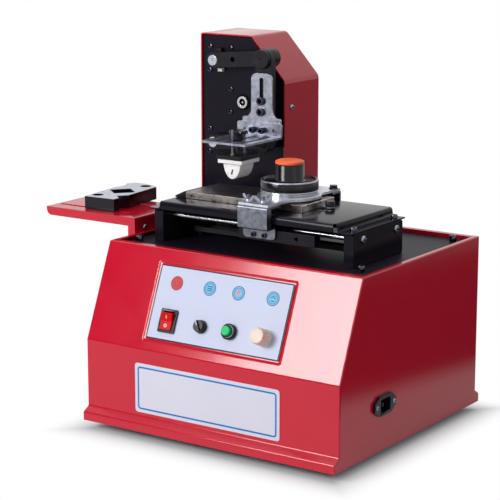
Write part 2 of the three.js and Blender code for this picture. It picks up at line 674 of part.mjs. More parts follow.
// One folded clamp: top flange over the table edge, outer face, tongue bolted to the carriage bar
function clampSolid(grip) {
  const side = grip.side;
  const outer = workY + side * grip.reach;
  const barFace = workY + side * carriage.barFront;
  const tongueOuter = barFace + side * (seat + clamp.sheet);
  const low = clampTopZ - clamp.drop;
  const left = carriage.x - grip.width / 2;
  const right = carriage.x + grip.width / 2;
  const shell = across('x', sheetShape([
    [outer - side * grip.depth, clampTopZ], [outer, clampTopZ], [outer, low],
    [tongueOuter - side * clamp.sheet, low],
  ], side * -clamp.sheet, clamp.sheet), left, right);
  const tongue = across('y', roundedRect(
    carriage.x - clamp.tongueWidth / 2, carriage.x + clamp.tongueWidth / 2,
    clampTopZ - clamp.tongueDrop, low + clamp.sheet, clamp.tongueCorner),
  Math.min(barFace + side * seat, tongueOuter), Math.max(barFace + side * seat, tongueOuter), bendSteps);
  const studs = [-grip.spread, grip.spread].map((dx) => cylinder(
    'z', wing.studRadius, clampTopZ - clamp.sheet, clampTopZ + yoke.thick + grip.studTop,
    carriage.x + dx, workY + side * grip.bolt, smallSteps));
  return join(shell, tongue, ...studs);
}

// The front clamp's ends are closed by side webs with a relief in the upper corner
function frontWebs() {
  const outer = workY - frontGrip.reach;
  const low = clampTopZ - clamp.drop;
  const half = frontGrip.width / 2;
  const c = clamp.webRelief;
  const web = shapeOf([
    [outer + clamp.sheet / 2, low + c], [outer + clamp.web, low + c], [outer + clamp.web, clampTopZ - c],
    [outer + clamp.sheet + c, clampTopZ - c], [outer + clamp.sheet / 2, clampTopZ - clamp.sheet - c],
  ]);
  return [[-half, -half + clamp.sheet], [half - clamp.sheet, half]]
    .map(([x0, x1]) => across('x', web, carriage.x + x0, carriage.x + x1));
}

function buildClamps() {
  part('front_clamp', join(clampSolid(frontGrip), ...frontWebs()), finish.zinc);
  part('rear_clamp', clampSolid(rearGrip), finish.zinc);
}
buildClamps();

// Yoke: flat steel collar round the cup with a waisted arm to each clamp
function yokeArm(grip, outer) {
  const base = clampTopZ + seat;
  const tip = workY + grip.side * grip.yokeReach;
  const slant = outer * Math.SQRT1_2;
  const root = workY + grip.side * slant;
  const neck = tip - grip.side * (grip.yokeReach - outer) * yoke.neckShare;
  const half = grip.width / 2;
  const shape = new THREE.Shape();
  shape.moveTo(carriage.x - half, tip).lineTo(carriage.x + half, tip).lineTo(carriage.x + half, neck);
  shape.quadraticCurveTo(carriage.x + half, root, carriage.x + slant, root);
  shape.lineTo(carriage.x - slant, root);
  shape.quadraticCurveTo(carriage.x - half, root, carriage.x - half, neck);
  return across('z', shape, base, base + yoke.thick);
}

function buildYoke() {
  const base = clampTopZ + seat;
  const outer = cup.ringRadius + yoke.collar;
  const disc = cylinder('z', outer, base, base + yoke.thick, carriage.x, workY);
  const bore = cylinder(
    'z', cup.ringRadius + yoke.ringGap, base - overrun, base + yoke.thick + overrun, carriage.x, workY);
  const holes = [frontGrip, rearGrip].flatMap((grip) => [-grip.spread, grip.spread].map((dx) => cylinder(
    'z', wing.studRadius + seat, base - overrun, base + yoke.thick + overrun, carriage.x + dx,
    workY + grip.side * grip.bolt, smallSteps)));
  const arms = [yokeArm(frontGrip, outer), yokeArm(rearGrip, outer)];
  part('cup_yoke', cut(join(disc, ...arms), bore, ...holes), finish.zinc);
}
buildYoke();

function buildCup() {
  const r = cup.ringRadius;
  const ring = turned([
    [cup.ringBore, cupZ], [r, cupZ], [r, cupZ + cup.ringHeight], [cup.ringBore, cupZ + cup.ringHeight],
    [cup.ringBore, cupZ],
  ]);
  part('cup_ring', moved(ring, carriage.x, workY, 0), finish.steel);
  const f0 = cupZ + cup.ringHeight + seat;
  const f1 = f0 + cup.flangeHeight;
  const bodyTop = f1 + cup.towerHeight;
  const flange = turned([
    [0, f0], [r, f0], [r, f1 - cup.flangeChamfer], [r - cup.flangeChamfer, f1], [r - cup.rim, f1],
    [r - cup.rim, f1 - cup.dish], [cup.towerRadius, f1 - cup.dish], [cup.towerRadius, bodyTop], [0, bodyTop],
  ]);
  part('cup_body', moved(flange, carriage.x, workY, 0), finish.blackPlastic);
  const c0 = bodyTop + seat;
  const cap = turned([
    [0, c0], [cup.capRadius, c0], [cup.capRadius, c0 + cup.capEdge],
    [cup.capRadius * cup.domeShare, c0 + cup.capHeight], [0, c0 + cup.capHeight],
  ]);
  part('cup_cap', moved(cap, carriage.x, workY, 0), finish.orangePlastic);
}
buildCup();

function buildWingNuts() {
  const base = clampTopZ + seat + yoke.thick + seat;
  [['wing_nut_left', -1], ['wing_nut_right', 1]].forEach(([name, side]) => {
    const hub = cylinder('z', wing.nutRadius, 0, wing.nutHeight, 0, 0, smallSteps);
    const wings = across('y', shapeOf([
      [-wing.nutRadius / 2, 0], [wing.nutRadius / 2, 0], [wing.span, wing.rise],
      [wing.span, wing.rise + wing.nutHeight], [wing.span - wing.nutRadius / 2, wing.rise + wing.nutHeight],
      [wing.nutRadius / 2, wing.nutHeight], [-wing.nutRadius / 2, wing.nutHeight],
      [-wing.span + wing.nutRadius / 2, wing.rise + wing.nutHeight],
      [-wing.span, wing.rise + wing.nutHeight], [-wing.span, wing.rise],
    ]), -wing.thick / 2, wing.thick / 2);
    const bore = cylinder(
      'z', wing.studRadius + turnGap, -overrun, wing.nutHeight + wing.rise + overrun, 0, 0, smallSteps);
    const turn = THREE.MathUtils.degToRad(side * wingRest);
    const nut = cut(join(hub, wings), bore).rotate([0, 0, THREE.MathUtils.radToDeg(turn)]);
    part(name, moved(nut, carriage.x + side * frontGrip.spread, workY - frontGrip.bolt, base), finish.zinc);
  });
}
const wingRest = 20;
buildWingNuts();

// Carriage belt and its two pulleys
function buildBeltDrive() {
  const r = drive.pulleyRadius;
  const outline = new THREE.Shape();
  const reach = r + drive.beltThick;
  outline.absarc(driveX, workY, reach, -Math.PI / 2, Math.PI / 2, false);
  outline.absarc(idlerX, workY, reach, Math.PI / 2, Math.PI * 3 / 2, false);
  const inner = new THREE.Shape();
  const bore = r + turnGap;
  inner.absarc(driveX, workY, bore, -Math.PI / 2, Math.PI / 2, false);
  inner.absarc(idlerX, workY, bore, Math.PI / 2, Math.PI * 3 / 2, false);
  const z0 = beltZ - drive.beltHeight / 2;
  const z1 = beltZ + drive.beltHeight / 2;
  const loop = across('z', outline, z0, z1, smallSteps);
  part('carriage_belt', cut(loop, across('z', inner, z0 - overrun, z1 + overrun, smallSteps)),
    finish.beltRubber);

  const low = z0 - seat - drive.flangeThick;
  const high = z1 + seat + drive.flangeThick;
  const pulley = (bottom) => turned([
    [0, bottom], [drive.shaftRadius, bottom], [drive.shaftRadius, low], [drive.flangeRadius, low],
    [drive.flangeRadius, z0 - seat], [r, z0 - seat], [r, z1 + seat], [drive.flangeRadius, z1 + seat],
    [drive.flangeRadius, high], [0, high],
  ]);
  part('drive_pulley', moved(pulley(deckUnder), driveX, workY, 0), finish.blackOxide);
  part('idler_pulley', moved(pulley(deckZ + seat), idlerX, workY, 0), finish.blackOxide);
}
buildBeltDrive();

// Tower: black front plate that carries the shafts, red folded cover behind it
const pulleyRow = { radius: 13, flangeRadius: 15, width: 8, back: 36, flangeThick: 1.2, beltThick: 1.6 };
const gear = { side: 50, depth: 30, canRadius: 14, canLength: 70, hubRadius: 8, hubBore: 4.5 };
const gearX = tower.left + tower.width / 2;
const gearZ = (upperPivotZ + lowerPivotZ) / 2;
const boss = { radius: 9, length: 2 };
const rowFront = plateBackY + pulleyRow.back;
const rowBack = rowFront + pulleyRow.width;

const coverOutline = [
  [tower.left, deckZ + seat], [tower.left, towerTop], [chamferX, towerTop], [towerRight, shoulderZ],
  [towerRight, deckZ + seat],
];

// The cover's outline moved inwards, open at the foot, with its bends rounded to suit
function towerOutline(inset, foot) {
  const path = offset(coverOutline, -inset);
  path[0][1] = foot;
  path[path.length - 1][1] = foot;
  return shapeOf([...rounded(path, path.map(() => Math.max(tower.bend - inset, 0)))].reverse());
}

function buildTower() {
  const s = tower.sheet;
  const outer = across('y', towerOutline(0, deckZ + seat), coverFrontY, coverBackY);
  const hollow = across('y', towerOutline(s, deckZ - overrun), coverFrontY - overrun, coverBackY - s);
  part('tower_cover', cut(outer, hollow), finish.redPaint);

  const sheet = across(
    'y', towerOutline(s + tower.plateGap, deckZ + seat), tower.plateY, plateBackY);
  const bores = [lowerPivotZ, upperPivotZ].map((z) => cylinder(
    'y', swing.shaftRadius + turnGap, tower.plateY - overrun, plateBackY + overrun, swing.pivotX, z));
  const hub = cylinder(
    'y', gear.hubRadius + seat, tower.plateY - overrun, plateBackY + overrun, gearX, gearZ);
  part('tower_plate', cut(sheet, hub, ...bores), finish.blackPaint);
}
buildTower();

// Shafts with their toothed pulleys, the gear motor and the belt that turns both shafts together
function turnedY(profile, x, z) {
  const points = profile.map(([r, y]) => new THREE.Vector2(r, y));
  return moved(solid(new THREE.LatheGeometry(points, roundSteps)), x, 0, z);
}

function pulleyProfile(shaftRadius, start, end) {
  const p = pulleyRow;
  return [
    [0, start], [shaftRadius, start], [shaftRadius, rowFront - p.flangeThick],
    [p.flangeRadius, rowFront - p.flangeThick], [p.flangeRadius, rowFront], [p.radius, rowFront],
    [p.radius, rowBack], [p.flangeRadius, rowBack], [p.flangeRadius, rowBack + p.flangeThick],
    [shaftRadius, rowBack + p.flangeThick], [shaftRadius, end], [0, end],
  ];
}

const shaftFrontY = carrierBackY + turnGap;
const shaftBackY = rowBack + pulleyRow.flangeThick + pulleyRow.flangeThick;

function buildSwingDrive() {
  part('upper_shaft', turnedY(
    pulleyProfile(swing.shaftRadius, shaftFrontY, shaftBackY), swing.pivotX, upperPivotZ), finish.steel);
  part('lower_shaft', turnedY(
    pulleyProfile(swing.shaftRadius, shaftFrontY, shaftBackY), swing.pivotX, lowerPivotZ), finish.steel);

  const front = plateBackY + seat;
  const half = gear.side / 2;
  const box = block(gearX - half, gearX + half, front, front + gear.depth, gearZ - half, gearZ + half);
  const can = cylinder('z', gear.canRadius, gearZ - half - gear.canLength, gearZ - half + overrun,
    gearX, front + gear.depth / 2);
  const hub = cylinder('y', gear.hubRadius, tower.plateY - seat, front + overrun, gearX, gearZ);
  const bore = cylinder('y', gear.hubBore, tower.plateY - overrun, tower.plateY + seat, gearX, gearZ);
  part('swing_motor', cut(join(box, can, hub), bore), finish.zinc);

  const start = front + gear.depth + seat;
  part('motor_pulley', turnedY(
    pulleyProfile(gear.hubBore, start, shaftBackY), gearX, gearZ), finish.steel);
  buildSwingBelt();
}

// Outline of a belt that wraps three pulleys: arcs joined by their outer tangents
function beltOutline(centres, radius) {
  const shape = new THREE.Shape();
  const normals = centres.map((from, i) => {
    const to = centres[(i + 1) % centres.length];
    return Math.atan2(to[1] - from[1], to[0] - from[0]) - Math.PI / 2;
  });
  centres.forEach(([x, z], i) => {
    const start = normals[(i + centres.length - 1) % centres.length];
    let end = normals[i];
    while (end < start) end += Math.PI * 2;
    shape.absarc(x, z, radius, start, end, false);
  });
  return shape;
}

function buildSwingBelt() {
  const centres = [[swing.pivotX, lowerPivotZ], [gearX, gearZ], [swing.pivotX, upperPivotZ]];
  const p = pulleyRow;
  const y0 = rowFront + seat;
  const y1 = rowBack - seat;
  const outer = across('y', beltOutline(centres, p.radius + p.beltThick), y0, y1, smallSteps);
  const inner = across(
    'y', beltOutline(centres, p.radius + turnGap), y0 - overrun, y1 + overrun, smallSteps);
  part('swing_belt', cut(outer, inner), finish.beltRubber);
}
buildSwingDrive();

// Arms: bars on the two shafts, carrying the upright carrier at their free ends
const arm = { height: 20, shaftEnd: 10.3, upperPinEnd: 13, lowerPinEnd: 10, holeShare: 0.37, hole: 3.5 };

function armSolid(pinEnd) {
  const bar = across('y', shapeOf([
    [0, -arm.height / 2], [swing.armLength, -arm.height / 2], [swing.armLength, arm.height / 2],
    [0, arm.height / 2],
  ]), armFrontY, armBackY);
  const ends = [[0, arm.shaftEnd], [swing.armLength, pinEnd]].map(
    ([x, r]) => cylinder('y', r, armFrontY, armBackY, x, 0));
  const shaftBore = cylinder(
    'y', swing.shaftRadius + seat, armFrontY - overrun, armBackY + overrun, 0, 0);
  const light = cylinder(
    'y', arm.hole, armFrontY - overrun, armBackY + overrun, swing.armLength * arm.holeShare, 0, smallSteps);
  return cut(join(bar, ...ends), shaftBore, light);
}

function placedArm(manifold, pivotZ) {
  return moved(manifold.rotate([0, -swing.restAngle, 0]), swing.pivotX, 0, pivotZ);
}

const knob = { radius: 12.3, thick: 5, dimple: 1.2, dimpleDepth: 1, edge: 0.8 };

function buildArms() {
  const pinHole = cylinder(
    'y', swing.pinRadius + seat, armFrontY - overrun, armBackY + overrun, swing.armLength, 0);
  part('upper_arm', placedArm(cut(armSolid(arm.upperPinEnd), pinHole), upperPivotZ), finish.blackOxide);
  const pin = cylinder(
    'y', swing.pinRadius, carrierFrontY + seat, armFrontY + overrun, swing.armLength, 0);
  part('lower_arm', placedArm(join(armSolid(arm.lowerPinEnd), pin), lowerPivotZ), finish.blackOxide);

  const head = carrierFrontY - seat;
  const pinSolid = turnedY([
    [0, head - knob.thick + knob.dimpleDepth], [knob.dimple, head - knob.thick + knob.dimpleDepth],
    [knob.dimple, head - knob.thick], [knob.radius - knob.edge, head - knob.thick],
    [knob.radius, head - knob.thick + knob.edge], [knob.radius, head], [swing.pinRadius, head],
    [swing.pinRadius, armBackY + seat], [boss.radius, armBackY + seat],
    [boss.radius, armBackY + boss.length], [0, armBackY + boss.length],
  ], pinX, upperPivotZ + pinRise);
  part('pivot_pin', pinSolid, finish.blackOxide);
}
buildArms();

// Head: carrier bar between the arm pins, slotted bracket, angle plate, pad holder and pad
const carrier = { half: 13, freeBore: 0.8 };
const stem = {
  half: 16.3, top: 18.4, corner: 8, flareTop: 63, flareEnd: 76, wide: 30, bottom: 97, barCorner: 3,
  slotTop: 24, slotHalf: 3, screwTop: 54.4, screwLow: 68.8, screwHole: 3.2,
};
const anglePlate = {
  x: -71.4, half: 34.8, sheet: 2.7, top: 82.2, drop: 19, depth: 84, corner: 3, slotHalf: 3.2, slotInset: 8,
  slotBack: 14, sideSlot: 20, holeSpread: 22.8, holeRadius: 2.4, slotPair: 7.3,
};
const headZ = upperPivotZ + pinRise;
const angleTopZ = headZ - anglePlate.top;
const angleZ = angleTopZ - anglePlate.drop;
const holder = {
  x: -69, width: 39.4, depth: 43.6, thick: 5.2, studRadius: 2.8, pinRadius: 1.15, pinSpread: 13.7,
  pinTop: 14, chamfer: 1.5,
};
const pad = {
  width: 38, depth: 40.5, flange: 5.3, bodyWidth: 27, bodyDepth: 30.8, bodyHeight: 20.2, y: 3.5,
  arcShare: 0.62, curveShare: 0.36, rise: 17.5,
};
const padBottom = plateTop + pad.rise;
const padTop = padBottom + pad.bodyHeight + pad.flange;
const holderZ = padTop + seat;
const padKnob = {
  radius: 12.2, hubRadius: 6.6, hub: 7.4, height: 12.6, lobes: 7, lobe: 2.6, edge: 1.2, bore: 9,
};

function buildCarrier() {
  const low = lowerPivotZ + pinRise;
  const bar = block(
    pinX - carrier.half, pinX + carrier.half, carrierFrontY, carrierBackY, low, headZ);
  const ends = [low, headZ].map((z) => cylinder(
    'y', carrier.half, carrierFrontY, carrierBackY, pinX, z));
  const upper = cylinder(
    'y', swing.pinRadius + turnGap, carrierFrontY - overrun, carrierBackY + overrun, pinX, headZ);
  const lower = cylinder(
    'y', swing.pinRadius + carrier.freeBore, carrierFrontY - overrun, carrierBackY + overrun, pinX, low);
  part('pad_carrier', cut(join(bar, ...ends), upper, lower), finish.blackOxide);
}
buildCarrier();

function buildStem() {
  const x = pinX;
  const top = headZ - stem.top;
  const flareTop = headZ - stem.flareTop;
  const flareEnd = headZ - stem.flareEnd;
  const bottom = headZ - stem.bottom;
  const shape = new THREE.Shape();
  const ear = stem.wide - stem.barCorner;
  const earFoot = flareEnd - stem.barCorner;
  shape.moveTo(x - stem.wide, bottom).lineTo(x + stem.wide, bottom).lineTo(x + stem.wide, earFoot);
  shape.absarc(x + ear, earFoot, stem.barCorner, 0, Math.PI / 2, false);
  shape.quadraticCurveTo(x + stem.half, flareEnd, x + stem.half, flareTop);
  shape.lineTo(x + stem.half, top - stem.corner);
  shape.absarc(x + stem.half - stem.corner, top - stem.corner, stem.corner, 0, Math.PI / 2, false);
  shape.lineTo(x - stem.half + stem.corner, top);
  shape.absarc(x - stem.half + stem.corner, top - stem.corner, stem.corner, Math.PI / 2, Math.PI, false);
  shape.lineTo(x - stem.half, flareTop);
  shape.quadraticCurveTo(x - stem.half, flareEnd, x - ear, flareEnd);
  shape.absarc(x - ear, earFoot, stem.barCorner, Math.PI / 2, Math.PI, false);
  const slot = slotShape(x, headZ - stem.slotTop - stem.slotHalf, x, headZ - stem.screwTop, stem.slotHalf);
  const holes = [slot, circle(x, headZ - stem.screwLow, stem.screwHole)];
  shape.holes = holes;
  part('stem_bracket', across('y', shape, bracketFrontY, bracketBackY), finish.zinc);
}
buildStem();

function buildAnglePlate() {
  const a = anglePlate;
  const x0 = a.x - a.half;
  const x1 = a.x + a.half;
  const front = angleBackY - a.depth;
  const upright = across('y', roundedRect(x0, x1, angleZ, angleTopZ, a.corner),
    angleBackY - a.sheet, angleBackY, bendSteps);
  const flat = across('z', roundedRect(x0, x1, front, angleBackY, a.corner),
    angleZ, angleZ + a.sheet, bendSteps);
  const slots = [-a.sideSlot, 0, a.sideSlot].map((dx) => across('z', slotShape(
    holder.x + dx, front + a.slotInset + a.slotHalf, holder.x + dx, angleBackY - a.slotBack, a.slotHalf),
  angleZ - overrun, angleZ + a.sheet + overrun, bendSteps));
  const holeZ = (angleZ + angleTopZ) / 2;
  const holes = [-a.holeSpread, -a.slotPair, a.slotPair, a.holeSpread].map((dx) => cylinder(
    'y', a.holeRadius, angleBackY - a.sheet - overrun, angleBackY + overrun, a.x + dx, holeZ, smallSteps));
  part('angle_plate', cut(join(upright, flat), ...slots, ...holes), finish.zinc);
}
buildAnglePlate();

function buildPad() {
  const x = holder.x;
  const y = workY + pad.y;
  const h = holder;
  const base = across('z', roundedRect(
    x - h.width / 2, x + h.width / 2, y - h.depth / 2, y + h.depth / 2, h.chamfer),
  holderZ, holderZ + h.thick, bendSteps);
  const knobZ = angleZ + anglePlate.sheet + seat;
  const stud = cylinder(
    'z', h.studRadius, holderZ + h.thick / 2, knobZ + padKnob.bore - seat, x, y, smallSteps);
  const pins = [-h.pinSpread, h.pinSpread].map((dy) => cylinder(
    'z', h.pinRadius, holderZ + h.thick / 2, knobZ + h.pinTop, x, y + dy, smallSteps));
  part('pad_holder', join(base, stud, ...pins), finish.blackOxide);

  const flange = block(
    x - pad.width / 2, x + pad.width / 2, y - pad.depth / 2, y + pad.depth / 2,
    padTop - pad.flange, padTop);
  const rise = pad.bodyHeight * pad.arcShare;
  const top = padTop - pad.flange / 2;
  const half = pad.bodyWidth / 2;
  const pull = pad.bodyWidth * pad.curveShare;
  const arch = new THREE.Shape();
  arch.moveTo(x + half, top).lineTo(x - half, top).lineTo(x - half, padBottom + rise);
  arch.quadraticCurveTo(x - pull, padBottom, x, padBottom);
  arch.quadraticCurveTo(x + pull, padBottom, x + half, padBottom + rise);
  const loaf = across('y', arch, y - pad.bodyDepth / 2, y + pad.bodyDepth / 2);
  part('print_pad', join(flange, loaf), finish.silicone);

  const k = padKnob;
  const grip = turned([
    [0, knobZ], [k.hubRadius, knobZ], [k.hubRadius, knobZ + k.hub], [k.radius, knobZ + k.hub],
    [k.radius, knobZ + k.height - k.edge], [k.radius - k.edge, knobZ + k.height], [0, knobZ + k.height],
  ]);
  const scallops = Array.from({ length: k.lobes }, (_, i) => {
    const angle = i / k.lobes * Math.PI * 2;
    return cylinder('z', k.lobe, knobZ + k.hub - overrun, knobZ + k.height + overrun,
      (k.radius + k.edge) * Math.cos(angle), (k.radius + k.edge) * Math.sin(angle), smallSteps);
  });
  const bore = cylinder('z', h.studRadius + turnGap, knobZ - overrun, knobZ + k.bore, 0, 0, smallSteps);
  part('pad_knob', moved(cut(grip, ...scallops, bore), x, y, 0), finish.blackPlastic);
}
buildPad();

// Work shelf on the left wall and the jig block that holds the printed article
const shelf = {
  reach: 150.7, front: 60, back: 47, rise: 19.9, leg: 85, sheet: 2, flange: 11.5, bend: 3, slotHalf: 3.5,
  slotLeft: 8.5, slotRight: 32, frontSlot: 24, backSlot: 23, lipRound: 8,
};
const shelfTop = topZ + shelf.rise;
const shelfLeft = -sideX - seat - shelf.reach;
const shelfFront = workY - shelf.front;
const shelfBack = workY + shelf.back;

function buildShelf() {
  const wallX = -sideX - seat;
  const low = shelfTop - shelf.leg;
  const path = [[shelfLeft, shelfTop], [wallX, shelfTop], [wallX, low]];
  const sheet = across('y', sheetShape(path, -shelf.sheet, shelf.bend), shelfFront, shelfBack);
  const roundX = shelfLeft + shelf.lipRound;
  const roundZ = shelfTop - shelf.flange + shelf.lipRound;
  const lip = (y0, y1) => {
    const corner = block(shelfLeft - overrun, roundX, y0 - overrun, y1 + overrun, low, roundZ);
    const quarter = cylinder('y', shelf.lipRound, y0 - overrun, y1 + overrun, roundX, roundZ);
    return cut(across('y', sheetShape(path, -shelf.flange, shelf.bend), y0, y1), cut(corner, quarter));
  };
  const slots = [shelfFront + shelf.frontSlot, shelfBack - shelf.backSlot].map((y) => across(
    'z', slotShape(shelfLeft + shelf.slotLeft, y, wallX - shelf.slotRight, y, shelf.slotHalf),
    shelfTop - shelf.sheet - overrun, shelfTop + overrun, bendSteps));
  part('work_shelf', cut(join(
    sheet, lip(shelfFront, shelfFront + shelf.sheet), lip(shelfBack - shelf.sheet, shelfBack)), ...slots),
  finish.redPaint);
}
buildShelf();

// Jig outline from its own centre, turned a little on the shelf
const jig = {
  x: -77, y: 11.5, turn: 5.8, height: 17, hole: 7, holes: [[-14, -39], [8, 46.5]], window: 20,
  outline: [
    [-24, -56], [23.5, -58], [24.5, -47], [13.5, -34], [24.5, -23], [24.5, 48], [10, 58], [-4.5, 62.5],
    [-20, 63.5], [-26, 52], [-21, 40], [-25, 14],
  ],
};

function buildJig() {
  const base = shelfTop + seat;
  const stock = across('z', shapeOf(jig.outline), base, base + jig.height);
  const bores = jig.holes.map(([x, y]) => cylinder(
    'z', jig.hole, base - overrun, base + jig.height + overrun, x, y));
  const windowTool = across('z', shapeOf([
    [-jig.window, 0], [0, -jig.window], [jig.window, 0], [0, jig.window],
  ]), base - overrun, base + jig.height + overrun);
  const turnedJig = cut(stock, ...bores, windowTool).rotate([0, 0, jig.turn]);
  part('jig_block', moved(turnedJig, -sideX + jig.x, workY + jig.y, 0), finish.blackPlastic);
}
buildJig();

// The frame: on the ground, in the middle of the whole machine's footprint
const rightReach = sideX + seat + inlet.flangeThick;
machine.position.x = -(rightReach + shelfLeft) / 2;

export default machine;
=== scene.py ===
"""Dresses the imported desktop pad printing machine: paints, plated steel, panel, screws, pad and stage."""

import json
import math

import bmesh
import bpy
from mathutils import Matrix, Vector


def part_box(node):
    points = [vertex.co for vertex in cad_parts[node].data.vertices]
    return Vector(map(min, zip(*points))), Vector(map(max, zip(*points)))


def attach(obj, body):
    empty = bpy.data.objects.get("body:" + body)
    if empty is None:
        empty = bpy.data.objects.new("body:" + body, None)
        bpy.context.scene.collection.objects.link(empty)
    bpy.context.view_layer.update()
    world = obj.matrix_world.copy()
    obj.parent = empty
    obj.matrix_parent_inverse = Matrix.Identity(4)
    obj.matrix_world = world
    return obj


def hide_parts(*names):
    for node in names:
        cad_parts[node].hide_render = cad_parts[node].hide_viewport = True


bl_info = {
    "name": "Pad Printing Machine",
    "version": (1, 0, 0),
    "blender": (4, 5, 0),
    "location": "View3D > Sidebar > Pad Printer",
    "description": "Builds the visible surfaces of a desktop pad printing machine on its frame",
    "category": "Object",
}

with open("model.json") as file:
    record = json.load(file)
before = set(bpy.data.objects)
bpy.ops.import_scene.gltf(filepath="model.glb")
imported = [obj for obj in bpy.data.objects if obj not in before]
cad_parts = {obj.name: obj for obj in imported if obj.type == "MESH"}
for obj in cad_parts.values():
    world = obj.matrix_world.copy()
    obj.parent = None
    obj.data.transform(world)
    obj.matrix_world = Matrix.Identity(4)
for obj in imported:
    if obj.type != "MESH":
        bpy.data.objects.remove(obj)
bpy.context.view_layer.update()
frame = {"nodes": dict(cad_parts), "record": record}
SLOT_OF = {row["node"]: row["material_slot"] for row in frame["record"]["subparts"]}
BODY_OF = {node: body for body, nodes in frame["record"]["behaviour"]["bodies"].items() for node in nodes}
MM = 0.001
FULL_TURN = 2 * math.pi
ORIGIN = Matrix.Identity(4)
FOLD = 38                  # edges that turn by fewer degrees than this are shaded as one smooth surface
CASE = "machine_frame"
HEAD = "pad_head"
CUP = "cup_carriage"
FILM = 0.12 * MM           # thickness at which the layers printed on the panel sheet are modelled
INK = 0.1 * MM             # thickness of the marks printed on plastic and on the sign plate
CONTROL_ROW = -22.6 * MM   # the controls' row, measured up the slope from the panel's middle
SYMBOL_ROW = 25.9 * MM     # the symbols' row


# Sizes and colours that a user would change


def linear(code):
    """A six-digit sRGB hex value as a linear colour."""
    channels = [int(code[i : i + 2], 16) / 255 for i in (0, 2, 4)]
    return tuple(c / 12.92 if c <= 0.04045 else ((c + 0.055) / 1.055) ** 2.4 for c in channels)


def length(name, description, millimetres):
    return bpy.props.FloatProperty(
        name=name, description=description, default=millimetres * MM, unit="LENGTH", subtype="DISTANCE",
        precision=4)


def colour(name, description, code):
    return bpy.props.FloatVectorProperty(
        name=name, description=description, default=linear(code), subtype="COLOR", min=0, max=1)


def power(name, description, watts):
    return bpy.props.FloatProperty(name=name, description=description, default=watts, unit="POWER")


class PadPrinterPaint(bpy.types.PropertyGroup):
    red: colour("Red paint", "Powder coat of the case, tower cover and shelf", "C60A2B")
    black: colour("Black paint", "Powder coat of the deck, table and tower plate", "18141F")
    panel: colour("Panel", "Printed sheet behind the controls", "C9CFE6")
    sign: colour("Sign", "Bare sign plate on the front", "D8D8E6")
    border: colour("Border", "Printed line round the sign plate", "1C7AC0")


class PadPrinterCase(bpy.types.PropertyGroup):
    lip_out: length("Lip depth", "How far the foot lip stands out", 10.3)
    lip_outer: length("Lip height", "Height of the lip's outer face", 11)
    lip_inner: length("Lip shoulder", "Height at which the lip meets the wall", 17)
    bend: length("Bend height", "Height of the bend between front and slope", 104.8)
    slope_run: length("Slope run", "How far the slope leans back", 49.9)
    wall: length("Wall", "Sheet thickness", 2)
    corner: length("Corner", "Outside radius of the folded edges", 1.8)
    rim: length("Rim", "Width of the flange round the deck", 10)
    rim_drop: length("Rim drop", "Depth of the flange's step down to the deck", 8.6)


class PadPrinterPanel(bpy.types.PropertyGroup):
    recess: length("Recess margin", "Width of the recess beyond the panel sheet, at its rim", 4.5)
    floor: length("Recess floor", "Width of the recess beyond the panel sheet, at its floor", 1.2)
    depth: length("Recess depth", "Depth of the pressed recess", 1.5)
    window: length("Window margin", "How far the opening stays inside the panel sheet", 8)
    icon: length("Icon", "Diameter of the printed symbols", 18)
    line: length("Edge line", "Width of the dark line round the panel", 1.5)


class PadPrinterSign(bpy.types.PropertyGroup):
    width: length("Width", "Width of the sign plate", 218)
    height: length("Height", "Height of the sign plate", 64)
    thick: length("Thickness", "Thickness of the sign plate", 0.8)
    corner: length("Corner", "Corner radius of the sign plate", 4)
    inset: length("Inset", "Distance of the printed line from the edge", 4.2)
    line: length("Line", "Width of the printed line", 2.1)


class PadPrinterScrews(bpy.types.PropertyGroup):
    cap: length("Cap screw", "Head diameter of the deck's socket cap screws", 9)
    pan: length("Pan screw", "Head diameter of the tower plate's cross-head screws", 7.2)


class PadPrinterStage(bpy.types.PropertyGroup):
    lens: bpy.props.FloatProperty(
        name="Lens", description="Focal length on a 36 mm sensor", default=130.99, unit="CAMERA")
    key: power("Key light", "Power of the main soft box", 60)
    fill: power("Fill light", "Power of the side soft box", 2)
    top: power("Top light", "Power of the overhead soft box", 16)


def settings(context, group):
    return getattr(context.scene, "pad_printer_" + group)


# Materials


def rgba(base, factor=1.0):
    """A hex value or a colour setting as a shader's colour, made lighter or darker by a factor."""
    channels = linear(base) if isinstance(base, str) else base
    return (*[min(c * factor, 1.0) for c in channels], 1.0)


def clear(owner):
    """Starts a material's or a world's node tree empty."""
    owner.use_nodes = True
    owner.node_tree.nodes.clear()
    return owner


def add(owner, kind, inputs=None, output=0, **options):
    """Adds one shader node, sets its options, fills or links its inputs and gives one of its outputs.

    A string among the inputs is a colour's hex value.
    """
    tree = owner.node_tree
    node = tree.nodes.new("ShaderNode" + kind)
    for name, value in options.items():
        setattr(node, name, value)
    for name, value in (inputs or {}).items():
        if isinstance(value, bpy.types.NodeSocket):
            tree.links.new(value, node.inputs[name])
        else:
            node.inputs[name].default_value = rgba(value) if isinstance(value, str) else value
    return node.outputs[output] if node.outputs else None


def pattern(material, spacing, detail=3.0, stretch=(1, 1, 1), cut=None):
    """A random pattern from 0 to 1 whose spots have a real spacing in millimetres.

    It runs long on an axis whose stretch is small, and cut gives the two of its levels that become 0 and 1.
    """
    point = add(material, "TexCoord", output="Object")
    point = add(material, "Mapping", {"Vector": point, "Scale": stretch})
    spots = add(
        material, "TexNoise",
        {"Vector": point, "Scale": 1 / (spacing * MM), "Detail": detail, "Roughness": 0.55})
    if cut:
        return add(material, "MapRange", {"Value": spots, "From Min": cut[0], "From Max": cut[1]})
    return spots


